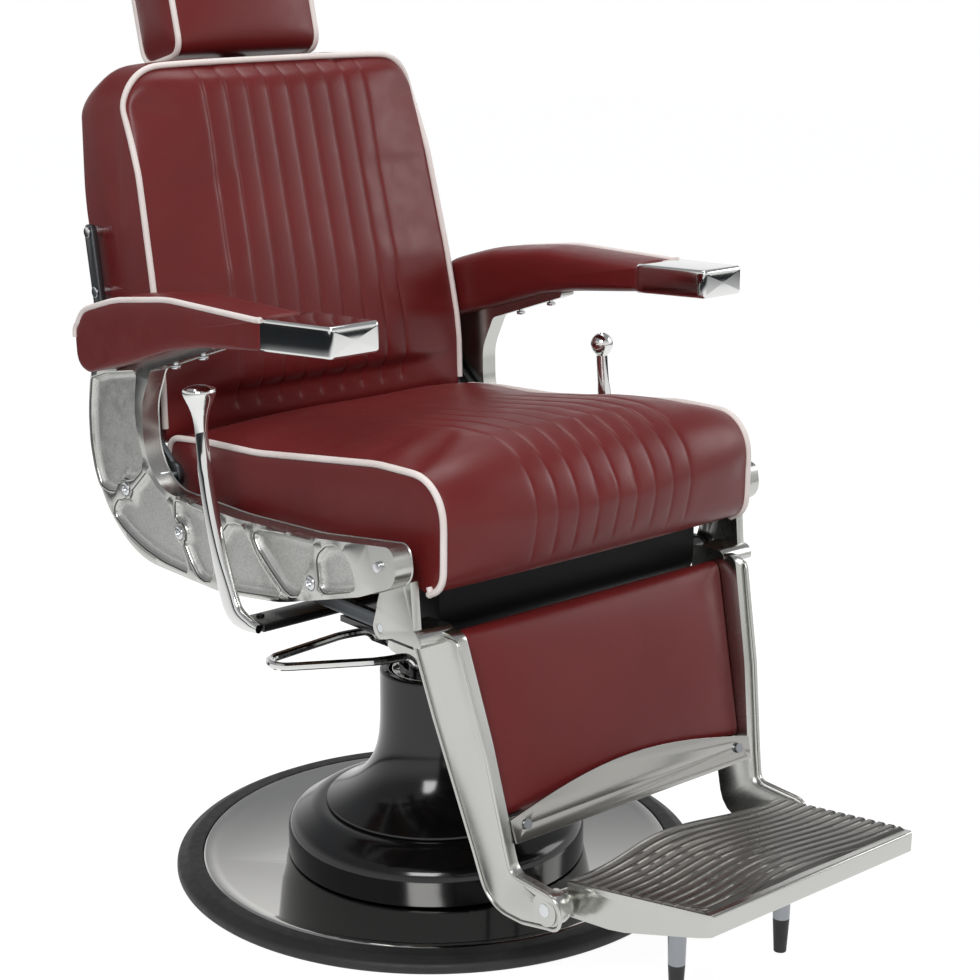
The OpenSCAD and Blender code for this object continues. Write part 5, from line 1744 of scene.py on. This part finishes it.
@dataclass
class HandLever:
    """A hand lever: a flat blade that rises from its cross bar into a round stem with a knob."""

    node: str
    sign: int
    knob: Knob
    plane: float = 328
    knob_lean_deg: float = 2
    path: tuple[tuple[float, float, float, float], ...] = (
        (33.5, 634, 7.6, 7.6), (31.5, 607, 7.8, 7.8), (25.5, 565, 8.4, 8), (15, 522, 9.4, 8),
        (5, 487, 11, 7.6), (-4.5, 462, 13, 7), (-12, 441, 15.2, 6.4), (-19, 425, 15.6, 6.2),
        (-30, 415, 13.6, 6), (-48, 411, 9.6, 6), (-68, 409.6, 6.8, 5.6), (-74, 409.5, 5.4, 4.6),
    )  # fmt: skip

    def make(self, frame: Frame) -> None:
        """Forges the lever and its knob.
        """
        finer = flow([(y, z, wide) for y, z, wide, _ in self.path], 2)
        thin = flow([(t, 0, 0) for _, _, _, t in self.path], 2)
        rings = []
        for i, (y, z, wide) in enumerate(finer):
            ahead, back = finer[min(i + 1, len(finer) - 1)], finer[max(i - 1, 0)]
            along = Vector((ahead[0] - back[0], ahead[1] - back[1])).normalized()
            ring = []
            for side, out in circle(28):
                swell = (abs(side) ** 3 + abs(out) ** 3) ** (-1 / 3) if wide > 8 else 1.0
                shift = wide * side * swell
                x = self.sign * (self.plane + thin[i][0] * out * swell)
                ring.append((x, y - along.y * shift, z + along.x * shift))
            rings.append(ring)
        blade = dress(smooth(loft(self.node + "_blade", rings), 60), CHROME)
        stand_in(blade, frame, self.node)
        head = self.path[0]
        tilt = math.radians(self.knob_lean_deg)
        rings = []
        for radius, height in self.knob.value:
            place = (head[0] + height * math.sin(tilt), head[1] + height * math.cos(tilt))
            ring = []
            for out, side in circle(40):
                x = self.sign * (self.plane + radius * out)
                drawn = radius * side
                ring.append((x, place[0] + drawn * math.cos(tilt), place[1] - drawn * math.sin(tilt)))
            rings.append(ring)
        self.attach(frame, dress(smooth(loft(self.node + "_knob", rings), 50), CHROME))
        self.attach(frame, self.bar())

    def bar(self) -> Piece:
        """Makes the black cross bar under the seat, on its round shaft."""
        profile = fillet([(-75.6, 404, 2.4), (-33, 404, 2.4), (-33, 414.2, 2.4), (-75.6, 414.2, 2.4)], 5)
        middle = (-54.3, 409.1)
        rings = []
        for x, shrink in ((97, 1.2), (98.2, 0), (200, 0), (320.8, 0), (322, 1.2)):
            rings.append([
                (self.sign * x, y + (middle[0] - y) * shrink / 21, z + (middle[1] - z) * shrink / 5)
                for y, z in profile
            ])
        bar = dress(smooth(loft(self.node + "_bar", rings), 35), BLACK_ENAMEL)
        shaft = tube(self.node + "_shaft", [(self.sign * 60, -54, 409), (self.sign * 100, -54, 409)], 8)
        head = [(0.5, 414), (5, 414), (5, 416), (4, 417), (0.5, 417.4)]
        screw = dress(turned(self.node + "_screw", head, 24), SCREW)
        screw.data.transform(Matrix.Translation((self.sign * 306 * MM, -46 * MM, 0)))
        return join([bar, dress(shaft, BLACK_ENAMEL), screw])

    def attach(self, frame: Frame, piece: Piece) -> None:
        """Lets a further piece of the lever ride and count with it."""
        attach(piece, frame["nodes"][self.node]["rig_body"])


@dataclass
class ReturnSpring:
    """The coil that lifts the pump's plunger, wound once to the length of its CAD node."""

    wire: float = 1.1
    turns: int = 4
    seat_z: float = 243
    stroke: float = 4.8

    def make(self, frame: Frame) -> None:
        """Winds the spring between its seats.
        """
        low, high = (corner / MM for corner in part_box("plunger_spring"))
        middle = (low + high) / 2
        coil_r = (high.x - low.x) / 2 - self.wire
        start, rise = low.z + self.wire, high.z - low.z - 2 * self.wire
        steps = 32 * self.turns
        path = []
        for i in range(steps + 1):
            turn = 2 * math.pi * self.turns * i / steps
            side, back = coil_r * math.cos(turn), coil_r * math.sin(turn)
            path.append((middle.x + side, middle.y + back, start + rise * i / steps))
        spring = stand_in(dress(tube("plunger_spring_coil", path, self.wire), STEEL), frame, "plunger_spring")
        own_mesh(spring)


# ---------- Metalwork ----------


@dataclass
class Metalwork:
    """The castings, sheets, levers and fasteners."""

    frame: Frame
    fittings: tuple[tuple[Edge, Finish, tuple[str, ...]], ...] = (
        (Edge.BUFFED, ALUMINIUM, ("leg_right", "leg_left", "swivel_hub", "footplate")),
        # The kick plate's darker colour is a painted reflection of dark surroundings.
        (Edge.DEBURRED, SCUFFED_DARKENED_SHEET, ("kick_plate",)),
        (Edge.STAMPED, BAR_STEEL, ("back_arm_right", "back_arm_left", "recline_links")),
        (Edge.STAMPED, BLACK_ENAMEL, ("underframe",)),
        # The front cover's extra black and low shine are painted shade under the seat.
        (Edge.STAMPED, SHADED_BLACK_SATIN, ("front_cover",)),
        (Edge.STAMPED, BLACK_ENAMEL, ("pump_head",)),
        (Edge.BUFFED, CHROME, ("ram_cap",)),
        (Edge.STAMPED, CHROME, ("headrest_bar",)),
        (Edge.STAMPED, STEEL, ("headrest_socket",)),
        (Edge.BUFFED, BLACK_PLASTIC, ("headrest_knob",)),
        (Edge.DEBURRED, MIRROR_SHEET, ("base_cover",)),
        (Edge.DEBURRED, SCREW, ("frame_bolts", "arm_screws", "back_bolts", "pivot_pins", "footplate_pins")),
    )
    carried: dict[str, Finish] = field(
        default_factory=lambda: {
            "ballast_plate": IRON, "base_bolts": SCREW, "guide_tube": STEEL, "upper_bush": BRONZE,
            "piston_rod": CHROME, "ram_tube": CHROME, "ram_foot": BRONZE, "ram_seal": RUBBER,
            "valve_cartridge": BRONZE, "swivel_spindle": STEEL, "thrust_washer": BRONZE, "spindle_nut": STEEL,
            "pump_plunger": STEEL, "pump_lever": CHROME, "lever_rocker": STEEL,
            "seat_board": PLYWOOD, "arm_cores": PLYWOOD, "link_pins": SCREW, "calf_board": BLACK_ENAMEL,
            "kick_fittings": STEEL, "footplate_posts": STEEL, "post_tips": RUBBER,
        }
    )  # fmt: skip

    def make(self) -> None:
        """Dresses every rigid node, some with rounded edges and some made anew."""
        for edge, finish, nodes in self.fittings:
            for node in nodes:
                piece = Fitting(node, edge, finish).make(self.frame)
                LOG.info("%s: %d faces", piece.name, len(piece.data.polygons))
        for node, finish in self.carried.items():
            dress(self.frame["nodes"][node], finish)
        for sign, side in ((-1, "right"), (1, "left")):
            casting = SideFrame(sign).make(self.frame, side)
            LOG.info("%s: %d faces", casting.name, len(casting.data.polygons))
            for i, place in enumerate(SideFrame.bosses):
                face = sign * (SideFrame.inner + SideFrame.thick)
                BoltHead(f"frame_bolt_head_{side}_{i}", face, place).make("seat")
            LegBead(sign).make(side)
            ArmCap(sign).make(self.frame, side)
        Tread().make(self.frame)
        Base().make(self.frame)
        ReturnSpring().make(self.frame)
        HandLever("recline_lever", -1, Knob.TRUMPET).make(self.frame)
        HandLever("lock_lever", 1, Knob.BALL).make(self.frame)
        LOG.info("levers, base and tread done")


# ---------- Studio ----------


@dataclass(frozen=True)
class Lamp:
    """A square soft lamp that faces the chair, with its side in millimetres and its watts."""

    name: str
    place: Point
    size: float
    watts: float

    def hang(self) -> None:
        """Hangs the lamp and turns it to the chair's middle."""
        light = bpy.data.lights.new(self.name, "AREA")
        light.size = self.size * MM
        light.energy = self.watts
        lamp = put(self.name, light)
        lamp.location = [c * MM for c in self.place]
        aim = Vector((0, 0, 0.6)) - lamp.location
        lamp.rotation_euler = aim.to_track_quat("-Z", "Y").to_euler()


@dataclass
class Studio:
    """A pale floor, soft lamps and the camera.

    Mirrors see the floor pale near bright_spot (metres) and dark beyond: a pool of light with painted shade
    round it, painted into the floor's colour. The sky shows white up to a slope and dim above it.
    """

    eye: Point = (-1685.3, -2055.4, 1219.5)
    tilt_deg: float = 74.97
    turn_deg: float = -40.9
    lens: float = 78.72
    floor_half: float = 9000
    floor_z: float = -0.2
    glow: float = 0.9
    room_light: float = 0.38
    # Where the pool of light painted into the floor's colour is centred, and how far it reaches before
    # painted shade takes over.
    bright_spot: Point = (0.8, -1.2, 0)
    painted_light_reach: Flat = (2.3, 4.7)
    sky_slope: Flat = (0.12, 0.6)
    lamps: tuple[Lamp, ...] = (
        Lamp("key_lamp", (-2600, -2200, 2900), 1500, 88),
        Lamp("side_lamp", (2900, -1500, 1900), 1500, 26),
        Lamp("top_lamp", (300, 600, 3400), 1900, 34),
    )

    def make(self) -> None:
        """Sets up the camera, the floor, the lamps and the sky."""
        self.place_camera()
        self.lay_floor()
        self.light_sky()
        for lamp in self.lamps:
            lamp.hang()
        bpy.context.scene.view_settings.view_transform = "Standard"

    def place_camera(self) -> None:
        """Stands the camera at the sitter's front right."""
        lens = bpy.data.cameras.new("camera")
        lens.sensor_width = 36
        lens.lens = self.lens
        camera = put("camera", lens)
        camera.location = [c * MM for c in self.eye]
        camera.rotation_euler = (math.radians(self.tilt_deg), 0, math.radians(self.turn_deg))
        bpy.context.scene.camera = camera

    def lay_floor(self) -> None:
        """Lays the floor: it shows white and keeps a soft shadow, and elsewhere its colour is a painted pool
        of light, pale near bright_spot and painted shade further out.
        """
        half = self.floor_half
        sheet = [(-half, -half), (half, -half), (half, half), (-half, half)]
        floor = new_piece("floor", [(x, y, self.floor_z) for x, y in sheet], [(0, 1, 2, 3)])
        surface = bpy.data.materials.new("painted_studio_floor")
        surface.use_nodes = True
        tree = surface.node_tree
        tree.nodes.clear()
        thin = add(tree, "ShaderNodeBsdfDiffuse", {"Color": srgb("#8c8c8c")})
        glow = add(tree, "ShaderNodeEmission", {"Color": (1, 1, 1, 1), "Strength": self.glow})
        shown = add(tree, "ShaderNodeAddShader", {0: thin.outputs[0], 1: glow.outputs[0]})
        place = add(tree, "ShaderNodeTexCoord").outputs["Object"]
        span = {0: place, 1: self.bright_spot}
        away = add(tree, "ShaderNodeVectorMath", span, operation="DISTANCE").outputs["Value"]
        pale, dark = self.painted_light_reach
        reach = {"Value": away, "From Min": pale, "From Max": dark, "To Min": 1.0, "To Max": 0.0}
        near = add(tree, "ShaderNodeMapRange", reach, interpolation_type="SMOOTHSTEP").outputs["Result"]
        # Painted light: pale paint near the spot and dark paint far off, standing for lamp light that falls
        # off into shade.
        colours = {0: near, 6: srgb("#3a3d40"), 7: srgb("#d8d8d8")}
        colour = add(tree, "ShaderNodeMix", colours, data_type="RGBA").outputs[2]
        paint = add(tree, "ShaderNodeBsdfDiffuse", {"Color": colour})
        share = self.seen(tree, near)
        mixed = add(tree, "ShaderNodeMixShader", {0: share, 1: paint.outputs[0], 2: shown.outputs[0]})
        add(tree, "ShaderNodeOutputMaterial", {"Surface": mixed.outputs[0]})
        floor.data.materials.append(surface)

    def seen(self, tree: Tree, mirrored: Socket) -> Socket:
        """Says how much of the white background a ray finds.

        Args:
            tree: the tree that asks.
            mirrored: how much of it a mirror shows in the ray's place.

        Returns:
            A share: 1 for rays from the camera or through glass, and 0 for light on the chair.
        """
        path = add(tree, "ShaderNodeLightPath")
        in_mirror = {0: path.outputs["Is Glossy Ray"], 1: mirrored}
        mirror = add(tree, "ShaderNodeMath", in_mirror, operation="MULTIPLY").outputs[0]
        straight = {0: path.outputs["Is Camera Ray"], 1: path.outputs["Is Transmission Ray"]}
        direct = add(tree, "ShaderNodeMath", straight, operation="MAXIMUM").outputs[0]
        return add(tree, "ShaderNodeMath", {0: direct, 1: mirror}, operation="MAXIMUM").outputs[0]

    def light_sky(self) -> None:
        """Lights the room evenly, and shows white behind the chair that dims towards the ceiling."""
        world = bpy.data.worlds.new("studio")
        world.use_nodes = True
        bpy.context.scene.world = world
        tree = world.node_tree
        tree.nodes.clear()
        room = add(tree, "ShaderNodeBackground", {"Color": srgb("#f4f6fa"), "Strength": self.room_light})
        white = add(tree, "ShaderNodeBackground", {"Color": (1, 1, 1, 1), "Strength": 1.0})
        way = add(tree, "ShaderNodeSeparateXYZ", {0: add(tree, "ShaderNodeTexCoord").outputs["Generated"]})
        pale, dim = self.sky_slope
        climb = {"Value": way.outputs["Z"], "From Min": pale, "From Max": dim, "To Min": 1.0, "To Max": 0.0}
        low = add(tree, "ShaderNodeMapRange", climb, interpolation_type="SMOOTHSTEP").outputs["Result"]
        mixed = {0: self.seen(tree, low), 1: room.outputs[0], 2: white.outputs[0]}
        add(tree, "ShaderNodeOutputWorld", {"Surface": add(tree, "ShaderNodeMixShader", mixed).outputs[0]})


def main() -> None:
    """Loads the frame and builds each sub-assembly."""
    logging.basicConfig(level=logging.INFO, format="%(name)s %(message)s")
    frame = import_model()
    Studio().make()
    Metalwork(frame).make()
    Upholstery(frame).make()


if __name__ == "__main__":
    main()
